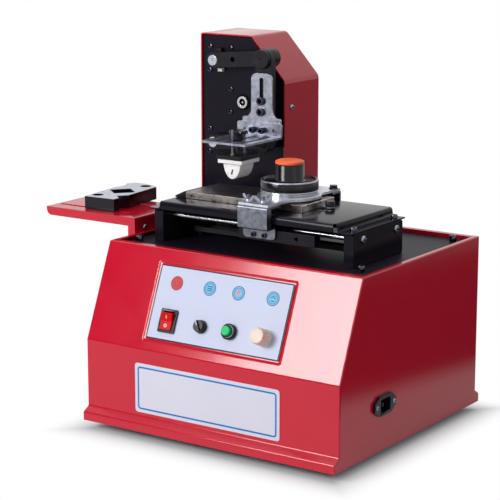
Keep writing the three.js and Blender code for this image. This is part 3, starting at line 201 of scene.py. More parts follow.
def surface(material, tone, roughness, relief=None, **sockets):
    """Joins a material's patterns to one shader.

    tone is a factor and two colours, or one colour socket. roughness is a factor and two levels, or one
    level. relief is a height pattern, its strength and its depth in millimetres.
    """
    inputs = {name.replace("_", " "): value for name, value in sockets.items()}
    if isinstance(tone, tuple):
        tone = add(material, "Mix", dict(zip((0, 6, 7), tone)), 2, data_type="RGBA")
    if isinstance(roughness, tuple):
        roughness = add(material, "MapRange", dict(zip(("Value", "To Min", "To Max"), roughness)))
    if relief:
        height, strength, depth = relief
        bump = {"Height": height, "Strength": strength, "Distance": depth * MM}
        inputs["Normal"] = add(material, "Bump", bump)
    shader = add(material, "BsdfPrincipled", {"Base Color": tone, "Roughness": roughness, **inputs})
    add(material, "OutputMaterial", {"Surface": shader})
    return material


def new_material(name):
    return clear(bpy.data.materials.new(name))


def powder_coat(name, base, roughness, gloss):
    """Gloss polyester powder coat, baked on: an even colour with a faint orange peel in its skin."""
    material = new_material(name)
    # Orange peel is about 1.5 mm across; drawn at 3 mm so that it shows at all
    peel = pattern(material, 3.0, 1.0)
    return surface(
        material, (pattern(material, 120.0, 2.0), rgba(base, 0.95), rgba(base, 1.04)),
        (pattern(material, 30.0), roughness - 0.02, roughness + 0.04), (peel, 0.035, 0.08),
        Specular_IOR_Level=gloss)


def zinc_plate(name, dark="7E818D", light="ABAEBA"):
    """Bright zinc on cold-rolled sheet: silvery with a cool cast, soft blotches and faint rolling lines."""
    material = new_material(name)
    blotch = pattern(material, 7.0, 5.0, cut=(0.3, 0.7))
    rolled = pattern(material, 3.0, 2.0, (1, 1, 14))
    return surface(
        material, (blotch, dark, light), (blotch, 0.28, 0.38), (rolled, 0.05, 0.1), Metallic=1.0)


def ground_steel(name):
    """Centreless-ground bearing steel: near mirror, with hair-fine grinding marks round it."""
    material = new_material(name)
    marks = pattern(material, 2.5, 2.0, (1, 1, 8))
    return surface(
        material, (marks, "A4A7B0", "D6D8DE"), (marks, 0.2, 0.3), (marks, 0.03, 0.05), Metallic=1.0)


def lapped_steel(name, dark="8A827F", light="BDB4B1"):
    """Lapped and etched plate: brown-grey steel, dulled by ink, with fine strokes along the cup's path."""
    material = new_material(name)
    strokes = pattern(material, 2.5, 3.0, (0.12, 1, 1))
    haze = pattern(material, 14.0, 5.0, cut=(0.36, 0.66))
    clean = add(material, "Mix", {0: haze, 6: dark, 7: light}, 2, data_type="RGBA")
    rust = pattern(material, 5.0, 5.0, cut=(0.55, 0.66))
    return surface(
        material, (rust, clean, "3A302E"), (strokes, 0.26, 0.42), (strokes, 0.12, 0.12), Metallic=1.0)


def black_oxide(name):
    """Machined steel blackened in hot salts: deep grey-black, satin, with cutter marks that shine."""
    material = new_material(name)
    cutter = pattern(material, 2.0, 2.0, (1, 1, 6))
    worn = pattern(material, 18.0, 4.0, cut=(0.55, 0.8))
    return surface(
        material, (worn, "120F19", "221E2B"), (cutter, 0.28, 0.44), (cutter, 0.08, 0.12),
        Metallic=0.3, Specular_IOR_Level=0.28)


def black_screw(name):
    """Socket screws as delivered: blackened, oiled and bright where the light catches an edge."""
    material = new_material(name)
    oil = pattern(material, 1.6, 2.0)
    return surface(material, (oil, "2C2A36", "585668"), (oil, 0.1, 0.2), Metallic=1.0)


def moulded(name, code, roughness, subsurface=0.0, gloss=0.35):
    """Injection-moulded plastic: even colour, a slight sheen and a fine spark-eroded grain."""
    material = new_material(name)
    grain = pattern(material, 0.9, 2.0)
    return surface(
        material, (pattern(material, 9.0), rgba(code, 0.94), rgba(code, 1.05)),
        (grain, roughness - 0.05, roughness + 0.08), (grain, 0.08, 0.08),
        Specular_IOR_Level=gloss, Subsurface_Weight=subsurface, Subsurface_Scale=0.002)


def silicone_rubber(name):
    """Cast silicone rubber: creamy white, slightly see-through at the edges, wiped with a trace of dust."""
    material = new_material(name)
    dust = pattern(material, 7.0, 4.0, cut=(0.55, 0.8))
    return surface(
        material, (dust, "FAF7F6", "E6E1E1"), 0.42, (pattern(material, 3.0), 0.05, 0.1), IOR=1.41,
        Subsurface_Weight=0.25, Subsurface_Scale=0.004, Subsurface_Radius=(1.0, 0.8, 0.6))


def vulcanised_rubber(name, code):
    """Vulcanised rubber: matt black with a dusty bloom in the hollows."""
    material = new_material(name)
    bloom = pattern(material, 6.0, 4.0)
    skin = pattern(material, 1.4)
    return surface(material, (bloom, rgba(code, 0.8), rgba(code, 1.7)), 0.78, (skin, 0.25, 0.15))


def printed_sheet(name, base, roughness=0.4):
    """Screen-printed aluminium foil sheet: flat even colour under a satin film."""
    material = new_material(name)
    film = pattern(material, 2.2, 2.0)
    return surface(
        material, (pattern(material, 60.0), rgba(base, 0.97), rgba(base, 1.02)),
        (film, roughness - 0.04, roughness + 0.06), (film, 0.04, 0.08), Specular_IOR_Level=0.12)


def solder_mask(name):
    """Green solder mask over copper tracks: the tracks show as lighter lines through the lacquer."""
    material = new_material(name)
    point = add(material, "TexCoord", output="Object")
    colours = {"Color1": "1D6B42", "Color2": "1A6440", "Mortar": "3D9463"}
    tracks = add(
        material, "TexBrick", {"Vector": point, "Scale": 1 / (12 * MM), "Mortar Size": 0.04, **colours})
    return surface(material, tracks, 0.32, IOR=1.5)


FINISH = {}


def make_finishes(context):
    paint = settings(context, "paint")
    FINISH.update({
        "red_paint": powder_coat("red powder coat", paint.red, 0.12, 0.48),
        "black_paint": powder_coat("black powder coat", paint.black, 0.22, 0.1),
        "black_satin": powder_coat("black satin powder coat", paint.black, 0.42, 0.07),
        "black_gloss": powder_coat("black gloss powder coat", paint.black, 0.14, 0.1),
        "black_oxide": black_oxide("blackened steel"),
        "zinc": zinc_plate("bright zinc plate"),
        "ground_steel": ground_steel("ground bearing steel"),
        "plate_steel": lapped_steel("lapped plate steel"),
        "rubber": vulcanised_rubber("vulcanised rubber feet", "141414"),
        "silicone": silicone_rubber("cast silicone rubber"),
        "panel_label": printed_sheet("printed panel sheet", paint.panel, 0.36),
        "black_plastic": moulded("black moulded ABS", "110D17", 0.18, gloss=0.3),
        "red_plastic": moulded("red moulded polycarbonate", "D0080C", 0.24, 0.1, 0.12),
        "green_plastic": moulded("green moulded ABS", "04C268", 0.3, 0.05, 0.15),
        "cream_plastic": moulded("cream moulded ABS", "EADACA", 0.42, 0.1),
        "orange_plastic": moulded("orange moulded polyethylene", "FF6C38", 0.36, 0.15),
        "circuit_board": solder_mask("green solder mask"),
        "belt_rubber": vulcanised_rubber("belt rubber", "18181A"),
        "sign": printed_sheet("printed sign sheet", paint.sign, 0.3),
        "border_print": printed_sheet("blue border print", paint.border, 0.34),
        "dark_print": printed_sheet("dark line print", "2B2733"),
        "white_print": printed_sheet("white print", "F2F2F2"),
        "red_print": printed_sheet("red symbol print", "D9505C"),
        "pale_print": printed_sheet("pale symbol print", "7CC0E6"),
        "ring_print": printed_sheet("symbol ring print", "2C5A84"),
        "deep_red_print": printed_sheet("symbol mark print", "86202C"),
        "pink_print": printed_sheet("pink symbol print", "E58A94"),
        # Painted reflection: a paler copy of the zinc that makes the jig block's top lighter than its sides
        "pale_zinc_painted_reflection": zinc_plate("zinc plate lightened as painted reflection", "A2A5B2", "C4C7D4"),
        # Painted highlight: a lighter copy of the zinc for the cup yoke
        "zinc_painted_highlight": zinc_plate("zinc plate lightened as painted highlight", "BFC2CC", "DCDEE4"),
        # Painted shade: a darker copy of the zinc for the front clamp and the guide pins
        "zinc_painted_shade": zinc_plate("zinc plate darkened as painted shade", "5E6169", "888B96"),
        # Painted shade: near black, for the sunk faces of screw recesses and for the drive boss's seat
        "recess": moulded("painted shade in recesses", "08080A", 0.6, gloss=0.05),
        # Painted reflection: a darker copy of the plate steel for the plate's top, standing for the dark things
        # it mirrors
        "dark_steel_painted_reflection": lapped_steel("plate steel darkened as painted reflection", "4E4A50", "827B84"),
        "screw_black": black_screw("glossy blackened screw steel"),
    })


# Places and sizes


def mm(*values):
    return tuple(value * MM for value in values)


LOOKS_ALONG = {"Z": ("X", 0), "Y": ("X", -90), "-Y": ("X", 90), "X": ("Y", 90), "-X": ("Y", -90)}


def place_at(x, y, z, axis="Z"):
    """A matrix at a point of the frame whose local Z looks along the named axis."""
    pivot, angle = LOOKS_ALONG[axis]
    return moved(Matrix.Translation((x, y, z)), turn=angle, axis=pivot)


def moved(place, x=0.0, y=0.0, z=0.0, turn=0.0, axis="Z"):
    """A place moved by millimetres along its own axes and then turned by degrees about one of them."""
    return place @ Matrix.Translation(mm(x, y, z)) @ Matrix.Rotation(math.radians(turn), 4, axis)


def centre(node):
    low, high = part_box(node)
    return (low + high) / 2


def on_box(node, axis="Z", x=0.5, y=0.5, z=0.5):
    """A place on a node's box, at shares of its width, depth and height."""
    return place_at(*[low + (high - low) * share for low, high, share in zip(*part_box(node), (x, y, z))], axis)


def slope_tilt(context):
    """How far the slope leans back from the front, as an angle from the floor."""
    case = settings(context, "case")
    low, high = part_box("front_panel")
    return math.atan2(high.z - (low.z + case.bend), case.slope_run)


def slope_place(context, across=0.0, up=0.0, lift=0.0):
    """Local X across the panel, Y up the slope, Z out of it, from the middle of the panel's face."""
    half_sheet = 0.6 * MM
    tilt = Matrix.Rotation(slope_tilt(context), 4, "X")
    offset = Matrix.Translation((across, up, half_sheet + lift))
    return Matrix.Translation(centre("control_panel")) @ tilt @ offset


def control_place(context, node, row=CONTROL_ROW, lift=0.0):
    """The place on the slope of a control, or of the symbol in its column."""
    return slope_place(context, centre(node).x - centre("control_panel").x, row, lift)


def panel_size(context):
    """Width and height of the panel sheet, along the slope."""
    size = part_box("control_panel")[1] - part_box("control_panel")[0]
    return size.x, size.z / math.sin(slope_tilt(context))


# Making pieces


def in_scene(name, data):
    """A new object in the scene for a mesh, a lamp or a camera."""
    made = bpy.data.objects.new(name, data)
    bpy.context.scene.collection.objects.link(made)
    return made


def mesh_object(name, bm):
    """Makes a bmesh into an object and frees it."""
    mesh = bpy.data.meshes.new(name)
    bm.to_mesh(mesh)
    bm.free()
    return in_scene(name, mesh)


def put(name, bm, finish, body=CASE, stands_for=(), edge=0.0, segments=2, smooth=FOLD, fresh=True):
    """Turns a bmesh into a finished piece at the origin, riding on its body.

    edge is the width of its softened edges in millimetres; a mesh that isn't fresh keeps its normals.
    """
    bmesh.ops.remove_doubles(bm, verts=bm.verts[:], dist=1e-6)
    if fresh:
        bmesh.ops.recalc_face_normals(bm, faces=bm.faces[:])
    piece = mesh_object(name, bm)
    mesh = piece.data
    mesh.shade_smooth()
    mesh.set_sharp_from_angle(angle=math.radians(smooth))
    mesh.materials.append(FINISH[finish])
    # Faces sunk into a recess take the near-black finish as painted shade
    if any(face.material_index for face in mesh.polygons):
        mesh.materials.append(FINISH["recess"])
    if edge:
        bevel = piece.modifiers.new("softened edges", "BEVEL")
        bevel.width = edge * MM
        bevel.segments = segments
        bevel.limit_method = "ANGLE"
        bevel.angle_limit = math.radians(smooth)
        bevel.harden_normals = True
    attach(piece, body)
    if stands_for:
        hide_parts(*stands_for)
    return piece


def node_mesh(node):
    """A merged copy of a CAD node's mesh, with its flat faces in one piece each."""
    bm = bmesh.new()
    bm.from_mesh(frame["nodes"][node].data)
    bmesh.ops.remove_doubles(bm, verts=bm.verts[:], dist=2e-6)
    level = math.radians(0.6)
    bmesh.ops.dissolve_limit(
        bm, angle_limit=level, verts=bm.verts[:], edges=bm.edges[:], use_dissolve_boundaries=False)
    return bm


def dress(*nodes, edge=0.4, segments=2, smooth=FOLD, finish=None):
    """CAD nodes whose shape is right, each with softened edges and its finish; a few finishes given here are
    lighter or darker copies that paint in highlight, reflection or shade.
    """
    for node in nodes:
        name, own = node + "_dressed", finish or SLOT_OF[node]
        piece = put(name, node_mesh(node), own, BODY_OF[node], (node,), edge, segments, smooth, fresh=False)


def face_skin(node, finish):
    """A hair-thin layer of another finish on the flat top of a CAD node, just inside its edges: a painted
    reflection that makes the top lighter or darker than its sides.
    """
    margin, thick = 0.9 * MM, 0.08 * MM
    bm = node_mesh(node)
    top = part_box(node)[1].z
    rest = [face for face in bm.faces if face.calc_center_median().z < top - 0.1 * MM]
    bmesh.ops.delete(bm, geom=rest, context="FACES")
    bmesh.ops.inset_region(bm, faces=bm.faces[:], thickness=margin, use_even_offset=True, use_boundary=True)
    rim = [face for face in bm.faces if any(side.is_boundary for side in face.edges)]
    bmesh.ops.delete(bm, geom=rim, context="FACES")
    extruded(bm, (0, 0, thick))
    put(node + "_painted_top_skin", bm, finish, BODY_OF[node])


def extruded(bm, vector):
    """Gives the flat faces of a bmesh a thickness along a vector."""
    made = bmesh.ops.extrude_face_region(bm, geom=bm.faces[:])
    far = [item for item in made["geom"] if isinstance(item, bmesh.types.BMVert)]
    bmesh.ops.translate(bm, vec=vector, verts=far)


def spun(profile, place=ORIGIN, steps=48, closed=False):
    """A profile of (radius, height) in millimetres turned about the local Z of a place."""
    bm = bmesh.new()
    points = [bm.verts.new(mm(r, 0, z)) for r, z in profile]
    lines = [bm.edges.new(pair) for pair in zip(points, points[1:])]
    if closed:
        lines.append(bm.edges.new((points[-1], points[0])))
    bmesh.ops.spin(
        bm, geom=points + lines, cent=(0, 0, 0), axis=(0, 0, 1), angle=FULL_TURN, steps=steps, use_merge=True)
    bmesh.ops.remove_doubles(bm, verts=bm.verts[:], dist=1e-7)
    bm.transform(place)
    return bm


def turned(node, name, profile, place, finish, steps=48, edge=0.0, closed=False):
    """A turned piece that stands for a CAD node."""
    put(name, spun(profile, place, steps, closed), finish, BODY_OF[node], (node,), edge)


def fluted(profile, place, count, depth, reach, foot, sharp=2, phase=0.0, steps=72):
    """A turned knob, cut into flutes or lobes beyond a radius and above a foot, both in millimetres.

    depth is a share of the radius, and a higher power in sharp makes the cuts narrower.
    """
    bm = spun(profile, ORIGIN, steps)
    for vert in bm.verts:
        if vert.co.to_2d().length > reach * MM and vert.co.z > foot * MM:
            wave = 0.5 + 0.5 * math.cos(count * math.atan2(vert.co.y, vert.co.x) + phase)
            vert.co.xy = vert.co.xy * (1 - depth * wave**sharp)
    bm.transform(place)
    return bm


def bar(size, place):
    """A rectangular bar centred on a place, size in metres."""
    bm = bmesh.new()
    bmesh.ops.create_cube(bm, size=1, matrix=place @ Matrix.Diagonal((*size, 1)))
    return bm


def thickened(bm, thick, place, line):
    """Gives a flat outline its thickness and its place; where a line width is given, its middle is open."""
    if line:
        middle = bm.faces[:][0]
        bmesh.ops.inset_region(bm, faces=[middle], thickness=line, use_even_offset=True, use_boundary=True)
        bmesh.ops.delete(bm, geom=[middle], context="FACES")
    extruded(bm, (0, 0, thick))
    bm.transform(place)
    return bm


def rounded_plate(width, height, corner, thick, place=ORIGIN, line=None, segments=6):
    """A plate with rounded corners, or a frame when a line width is given."""
    bm = bmesh.new()
    sides = Matrix.Diagonal((width, height, 1, 1))
    bmesh.ops.create_grid(bm, x_segments=1, y_segments=1, size=0.5, matrix=sides)
    bmesh.ops.bevel(
        bm, geom=bm.verts[:], offset=corner, segments=segments, profile=0.5, affect="VERTICES", material=-1)
    return thickened(bm, thick, place, line)


def disc(radius, thick, place, line=None, steps=40):
    """A flat disc, or a ring when a line width is given."""
    bm = bmesh.new()
    bmesh.ops.create_circle(bm, cap_ends=True, segments=steps, radius=radius)
    return thickened(bm, thick, place, line)


def merged(parts):
    """Several bmeshes in one."""
    whole = bmesh.new()
    for part in parts:
        spare = bpy.data.meshes.new("spare")
        part.to_mesh(spare)
        part.free()
        whole.from_mesh(spare)
        bpy.data.meshes.remove(spare)
    return whole


# Outlines of screw heads, as shares of their radius and height, and the steps round them
DOME = ([(0, 0), (1, 0), (1, 0.25), (0.97, 0.5), (0.88, 0.8), (0.7, 1)], 16)
CYLINDER = ([(0, 0), (1, 0), (1, 0.88), (0.9, 1), (0.56, 1)], 24)


def screw(place, radius, height, shape):
    """A screw head in millimetres: a dome with a cross recess, or a cylinder with a round socket."""
    profile, steps = shape
    bm = spun([(r * radius, z * height) for r, z in profile], ORIGIN, steps)
    mouth = [edge for edge in bm.edges if edge.is_boundary]
    lid = bmesh.ops.contextual_create(bm, geom=mouth)["faces"][0]
    if shape is DOME:
        inner_corners = [vert for i, vert in enumerate(lid.verts) if i % 4 > 1]
        bmesh.ops.scale(bm, vec=(0.34, 0.34, 1), verts=inner_corners)
    sunk = bmesh.ops.extrude_discrete_faces(bm, faces=[lid])["faces"][0]
    # The sunk faces of the recess are marked for the near-black finish: painted shade
    for face in {face for edge in sunk.edges for face in edge.link_faces}:
        face.material_index = 1
    bmesh.ops.translate(bm, vec=mm(0, 0, -height * 0.55), verts=sunk.verts[:])
    bm.transform(place)
    return bm


def screws(name, places, radius, height, shape, finish="screw_black", body=CASE, edge=0.0):
    """One piece of equal screw heads, one at each place."""
    put(name, merged([screw(place, radius, height, shape) for place in places]), finish, body, edge=edge)


def settled(piece):
    """Applies a piece's modifiers to its mesh."""
    graph = bpy.context.evaluated_depsgraph_get()
    mesh = bpy.data.meshes.new_from_object(piece.evaluated_get(graph))
    piece.modifiers.clear()
    piece.data = mesh


def carve(piece, cutters):
    """Cuts closed bmeshes out of a piece."""
    for bm in cutters:
        bmesh.ops.recalc_face_normals(bm, faces=bm.faces[:])
        tool = mesh_object("cutter", bm)
        boolean = piece.modifiers.new("cut", "BOOLEAN")
        boolean.operation = "DIFFERENCE"
        boolean.object = tool
        settled(piece)
        bpy.data.meshes.remove(tool.data)


# The steps that build the machine


class PadPrinterOperator:
    bl_options = {"REGISTER", "UNDO"}


class PADPRINTER_OT_finishes(PadPrinterOperator, bpy.types.Operator):
    """Makes the finishes and gives each CAD node its own, whether or not a piece stands for it"""

    bl_idname = "pad_printer.finishes"
    bl_label = "Finishes"

    def execute(self, context):
        make_finishes(context)
        for node, piece in frame["nodes"].items():
            piece.data.materials.clear()
            piece.data.materials.append(FINISH[SLOT_OF[node]])
        return {"FINISHED"}


class PADPRINTER_OT_case(PadPrinterOperator, bpy.types.Operator):
    """Builds the welded and painted case with its recess, rim and foot lip"""

    bl_idname = "pad_printer.case"
    bl_label = "Case"

    def execute(self, context):
        case = settings(context, "case")
        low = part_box("side_panel_left")[0]
        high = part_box("side_panel_right")[1]
        front, back = low.y + case.lip_out, high.y - case.lip_out
        slope_top = front + case.slope_run
        outline = [
            (low.y, low.z), (low.y, low.z + case.lip_outer), (front, low.z + case.lip_inner),
            (front, low.z + case.bend), (slope_top, high.z), (back, high.z), (back, low.z + case.lip_inner),
            (high.y, low.z + case.lip_outer), (high.y, low.z),
        ]
        bm = bmesh.new()
        bm.faces.new([bm.verts.new((low.x, y, z)) for y, z in outline])
        extruded(bm, (high.x - low.x, 0, 0))
        bmesh.ops.recalc_face_normals(bm, faces=bm.faces[:])
        folds = [edge for edge in bm.edges if any(vert.co.z >= low.z + MM for vert in edge.verts)]
        bmesh.ops.bevel(
            bm, geom=folds, offset=case.corner, segments=3, profile=0.5, affect="EDGES", clamp_overlap=True,
            material=-1)
        bottom = [
            face for face in bm.faces if face.normal.z < -0.99 and face.calc_center_median().z < low.z + MM]
        bmesh.ops.delete(bm, geom=bottom, context="FACES")
        self.open_top(bm, case, slope_top + case.rim, back - case.rim, high.z)
        nodes = ("front_panel", "back_panel", "side_panel_left", "side_panel_right")
        shell = put("case_shell", bm, "red_paint", CASE, nodes, fresh=False)
        sheet = shell.modifiers.new("sheet", "SOLIDIFY")
        sheet.thickness = case.wall
        sheet.offset = -1
        sheet.use_even_offset = True
        settled(shell)
        self.cut_openings(context, shell)
        self.side_rims(case, low, high, slope_top, back)
        return {"FINISHED"}

    def open_top(self, bm, case, near, far, top):
        """Leaves a flange at the front and the back of the top, each with a step down to the deck."""
        for y in (near, far):
            everything = bm.verts[:] + bm.edges[:] + bm.faces[:]
            bmesh.ops.bisect_plane(bm, geom=everything, plane_co=(0, y, 0), plane_no=(0, 1, 0))
        middle = [
            face for face in bm.faces
            if face.normal.z > 0.9 and near < face.calc_center_median().y < far
            and face.calc_center_median().z > top - case.corner / 2]
        bmesh.ops.delete(bm, geom=middle, context="FACES")
        nearly_full_width = 200 * MM
        steps = [
            edge for edge in bm.edges
            if edge.is_boundary and abs(edge.verts[0].co.x - edge.verts[1].co.x) > nearly_full_width
            and edge.verts[0].co.z > top - MM]
        made = bmesh.ops.extrude_edge_only(bm, edges=steps)
        dropped = [item for item in made["geom"] if isinstance(item, bmesh.types.BMVert)]
        bmesh.ops.translate(bm, vec=(0, 0, -case.rim_drop), verts=dropped)
        bmesh.ops.recalc_face_normals(bm, faces=bm.faces[:])
        right_wall = max(bm.faces, key=lambda face: face.calc_area() * (face.normal.x > 0.9))
        if right_wall.calc_center_median().x < 0:
            bmesh.ops.reverse_faces(bm, faces=bm.faces[:])

    def side_rims(self, case, low, high, slope_top, back):
        """The walls' upper edges, folded inward over the deck."""
        step_down = 0.05 * MM
        reach = 6 * MM
        near = slope_top + case.rim / 2
        inset = case.corner / 2 + reach / 2
        strips = []
        for x, far in ((high.x - inset, back), (low.x + inset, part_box("tower_plate")[0].y)):
            spot = place_at(x, (near + far) / 2, high.z - case.wall / 2 - step_down)
            strips.append(bar((reach, far - near, case.wall), spot))
        put("side_rims", merged(strips), "red_paint", edge=0.5)

    def cut_openings(self, context, shell):
        """Cuts the recess, the panel's window and the hole behind the mains inlet."""
        panel = settings(context, "panel")
        width, height = panel_size(context)
        depth, window_corner = 12 * MM, 3 * MM
        window = rounded_plate(
            width - 2 * panel.window, height - 2 * panel.window, window_corner, depth,
            slope_place(context, lift=-depth / 2))
        hole = bar(mm(20, 29, 21), on_box("power_inlet", x=1))
        carve(shell, [self.pocket(context, panel, width, height), window, hole])
        self.soften_recess(context, shell, width / 2 + panel.recess, height / 2 + panel.recess)
        shell.data.shade_smooth()
        shell.data.set_sharp_from_angle(angle=math.radians(FOLD))
        flat = shell.modifiers.new("flat sheet faces", "WEIGHTED_NORMAL")
        flat.weight = 100
        flat.keep_sharp = True

    def pocket(self, context, panel, width, height):
        """The pressed recess as a closed cutter: its walls lean outward from the floor to the rim."""
        overrun, below_sheet, corner = mm(0.4, 0.3, 4)
        tall = panel.depth + overrun
        reach = panel.floor + (panel.recess - panel.floor) / panel.depth * tall
        bm = rounded_plate(width + 2 * panel.floor, height + 2 * panel.floor, corner, tall)
        wider = (width / 2 + reach) / (width / 2 + panel.floor)
        taller = (height / 2 + reach) / (height / 2 + panel.floor)
        rim = [vert for vert in bm.verts if vert.co.z > tall / 2]
        bmesh.ops.scale(bm, vec=(wider, taller, 1), verts=rim)
        bm.transform(slope_place(context, lift=-panel.depth - below_sheet))
        return bm

    def soften_recess(self, context, shell, reach_x, reach_y):
        """Rounds the rim of the pressed recess, so that it catches the light."""
        radius, near = 0.7 * MM, 0.1 * MM
        to_slope = slope_place(context).inverted()
        bm = bmesh.new()
        bm.from_mesh(shell.data)
        bmesh.ops.dissolve_limit(bm, angle_limit=math.radians(0.4), verts=bm.verts[:], edges=bm.edges[:])
        level = max((to_slope @ vert.co).z for vert in bm.verts if abs((to_slope @ vert.co).y) < reach_y)

        def on_rim(vert):
            spot = to_slope @ vert.co
            inside = abs(spot.x) < reach_x + near and abs(spot.y) < reach_y + near
            return inside and abs(spot.z - level) < near

        rim = [edge for edge in bm.edges if all(on_rim(vert) for vert in edge.verts)]
        bmesh.ops.bevel(
            bm, geom=rim, offset=radius, segments=2, profile=0.5, affect="EDGES", clamp_overlap=True,
            material=-1)
        bm.to_mesh(shell.data)
        bm.free()


class PADPRINTER_OT_deck(PadPrinterOperator, bpy.types.Operator):
    """Builds the black deck, its cap screws, the floor plate and the feet"""

    bl_idname = "pad_printer.deck"
    bl_label = "Deck and feet"

    def execute(self, context):
        dress("top_plate", edge=0.5, finish="black_satin")
        dress("base_plate", edge=0.3)
        low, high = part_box("top_plate")
        # Millimetres from the deck's left and front edges to each screw; negative ones from right and back
        insets = ((-28, 34), (18.5, 25), (-22.5, -15.5), (187, -17))
        places = [
            place_at((low if x > 0 else high).x + x * MM, (low if y > 0 else high).y + y * MM, high.z)
            for x, y in insets]
        screws("deck_screws", places, settings(context, "screws").cap / 2 / MM, 8, CYLINDER, edge=0.25)
        foot = [(0, 0.0), (10.4, 0.0), (11.4, 0.6), (13, 3.4), (13, 10.9), (12.4, 11.7), (0, 11.7)]
        for node in ("foot_front_left", "foot_front_right", "foot_back_left", "foot_back_right"):
            turned(node, node + "_dressed", foot, on_box(node, z=0), "rubber")
        return {"FINISHED"}


class PADPRINTER_OT_panel(PadPrinterOperator, bpy.types.Operator):
    """Builds the printed panel sheet, its dark edge line and the four symbols"""

    bl_idname = "pad_printer.panel"
    bl_label = "Panel"

    def execute(self, context):
        panel = settings(context, "panel")
        corner = 2 * MM
        dress("control_panel", edge=0.15)
        line = rounded_plate(*panel_size(context), corner, FILM, slope_place(context), panel.line)
        put("panel_edge_line", line, "dark_print")

        at = self.symbol(context, "power", "rocker_bezel", "red_print", "deep_red_print")
        arc = disc(3.9 * MM, FILM, at, line=0.9 * MM)
        gap = [face for face in arc.faces if (at.inverted() @ face.calc_center_median()).y > 2.6 * MM]
        bmesh.ops.delete(arc, geom=gap, context="FACES")
        put("power_symbol_mark", merged([arc, self.stroke(at, 0, 2.8, 0.9, 3.6)]), "deep_red_print")

        at = self.symbol(context, "mode", "selector_knob", "pale_print", "ring_print")
        bars = [self.stroke(at, 0, dy, 7.2, 1.1) for dy in (2.4, 0, -2.4)]
        put("mode_symbol_mark", merged(bars), "ring_print")

        at = self.symbol(context, "print", "button_bezel", "pale_print", "ring_print")
        put("print_symbol_mark", disc(2.6 * MM, FILM, moved(at, 0, 1.2)), "pink_print")
        put("print_symbol_line", self.stroke(at, 0, -3.2, 7.0, 1.1), "pink_print")

        at = self.symbol(context, "speed", "speed_knob", "pale_print", "ring_print")
        rays = [self.stroke(moved(at, turn=degrees), 2.9, 0, 2.4, 0.8) for degrees in (20, 55, 90, 125, 160)]
        put("speed_symbol_mark", merged([*rays, self.stroke(at, 0, -3.0, 5.6, 1.1)]), "ring_print")
        return {"FINISHED"}

    def symbol(self, context, name, control, fill, ring):
        """A filled disc with two rings, above a control; gives the place of the mark on it."""
        radius, inner_share = settings(context, "panel").icon / 2, 0.72
        at = control_place(context, control, SYMBOL_ROW, FILM)
        put(name + "_symbol_fill", disc(radius, FILM, control_place(context, control, SYMBOL_ROW)), fill)
        put(name + "_symbol_ring", disc(radius, FILM, at, line=0.9 * MM), ring)
        put(name + "_symbol_inner", disc(radius * inner_share, FILM, at, line=0.5 * MM), ring)
        return at

    def stroke(self, at, dx, dy, width, height):
        return bar((*mm(width, height), FILM), moved(at, dx, dy, FILM / 2 / MM))


class PADPRINTER_OT_controls(PadPrinterOperator, bpy.types.Operator):
    """Builds the rocker switch, the selector, the push button and the fluted dial"""

    bl_idname = "pad_printer.controls"
    bl_label = "Controls"

    def execute(self, context):
        dress("rocker_bezel", "rocker_button", edge=0.5, segments=3)
        self.rocker_marks(context)
        self.selector(context)
        self.button(context)
        self.dial(context)
        return {"FINISHED"}

    def rocker_marks(self, context):
        """The I and O of the rocker, printed on its two faces."""
        rest_tilt = 10
        button = moved(control_place(context, "rocker_bezel", lift=0.3 * MM), turn=rest_tilt, axis="X")
        # Each face falls 2 mm over its 10.7 mm towards the middle
        fall = math.degrees(math.atan2(2.0, 10.7))
        upper = moved(button, 0, 5.4, 5.41, fall, "X")
        lower = moved(button, 0, -5.4, 5.41, -fall, "X")
        marks = [bar((*mm(0.9, 4), INK), upper), disc(2.2 * MM, INK, lower, line=0.8 * MM, steps=24)]
        put("rocker_marks", merged(marks), "white_print", "power_rocker")

    def selector(self, context):
        """A low skirt with a bar grip across it, which points a little to the left."""
        body = "mode_selector"
        at = control_place(context, "selector_knob")
        skirt = [
            (0, -3), (3, -3), (3, 0.3), (8.5, 0.3), (8.5, 2.0), (7.9, 2.6), (7.4, 7.6), (6.8, 8.3), (0, 8.3)]
        turned("selector_knob", "selector_knob_skirt", skirt, at, "black_plastic", edge=0.25)
        grip = moved(at, turn=30)
        bar_grip = bar(mm(3, 14.6, 7), moved(grip, 0, 0, 7.2))
        put("selector_knob_grip", bar_grip, "black_plastic", body, edge=0.6, segments=3)
        put("selector_knob_line", bar(mm(0.9, 6, 0.2), moved(grip, 0, 4, 10.75)), "white_print", body)

    def button(self, context):
        at = control_place(context, "button_bezel")
        collar = [
            (10, 0.3), (10, 4.9), (9.3, 6.1), (8.7, 6.3), (7, 6.3), (7, -13.7), (0, -13.7), (0, -15.7),
            (8.6, -15.7), (8.6, 0.2), (10, 0.3)]
        turned("button_bezel", "button_collar", collar, at, "black_plastic", steps=56, edge=0.2)
        cap = [(0, -8.7), (5.9, -8.7), (5.9, 11.0), (5.4, 11.5), (0, 11.5)]
        turned("push_button", "button_cap", cap, at, "green_plastic", edge=0.2)

    def dial(self, context):
        """A cream dial with rounded flutes and a flat face let into its rim."""
        profile = [
            (0, -4), (3, -4), (3, 0.3), (10.9, 0.3), (10.9, 2.2), (10.7, 3.0), (10.2, 17.8), (9.7, 18.8),
            (8.9, 19.2), (8.2, 18.9), (0, 18.9)]
        dial = fluted(
            profile, control_place(context, "speed_knob"), count=20, depth=0.1, reach=9.4, foot=2.6,
            phase=math.pi, steps=120)
        put("dial_fluted", dial, "cream_plastic", "speed_dial", ("speed_knob",))


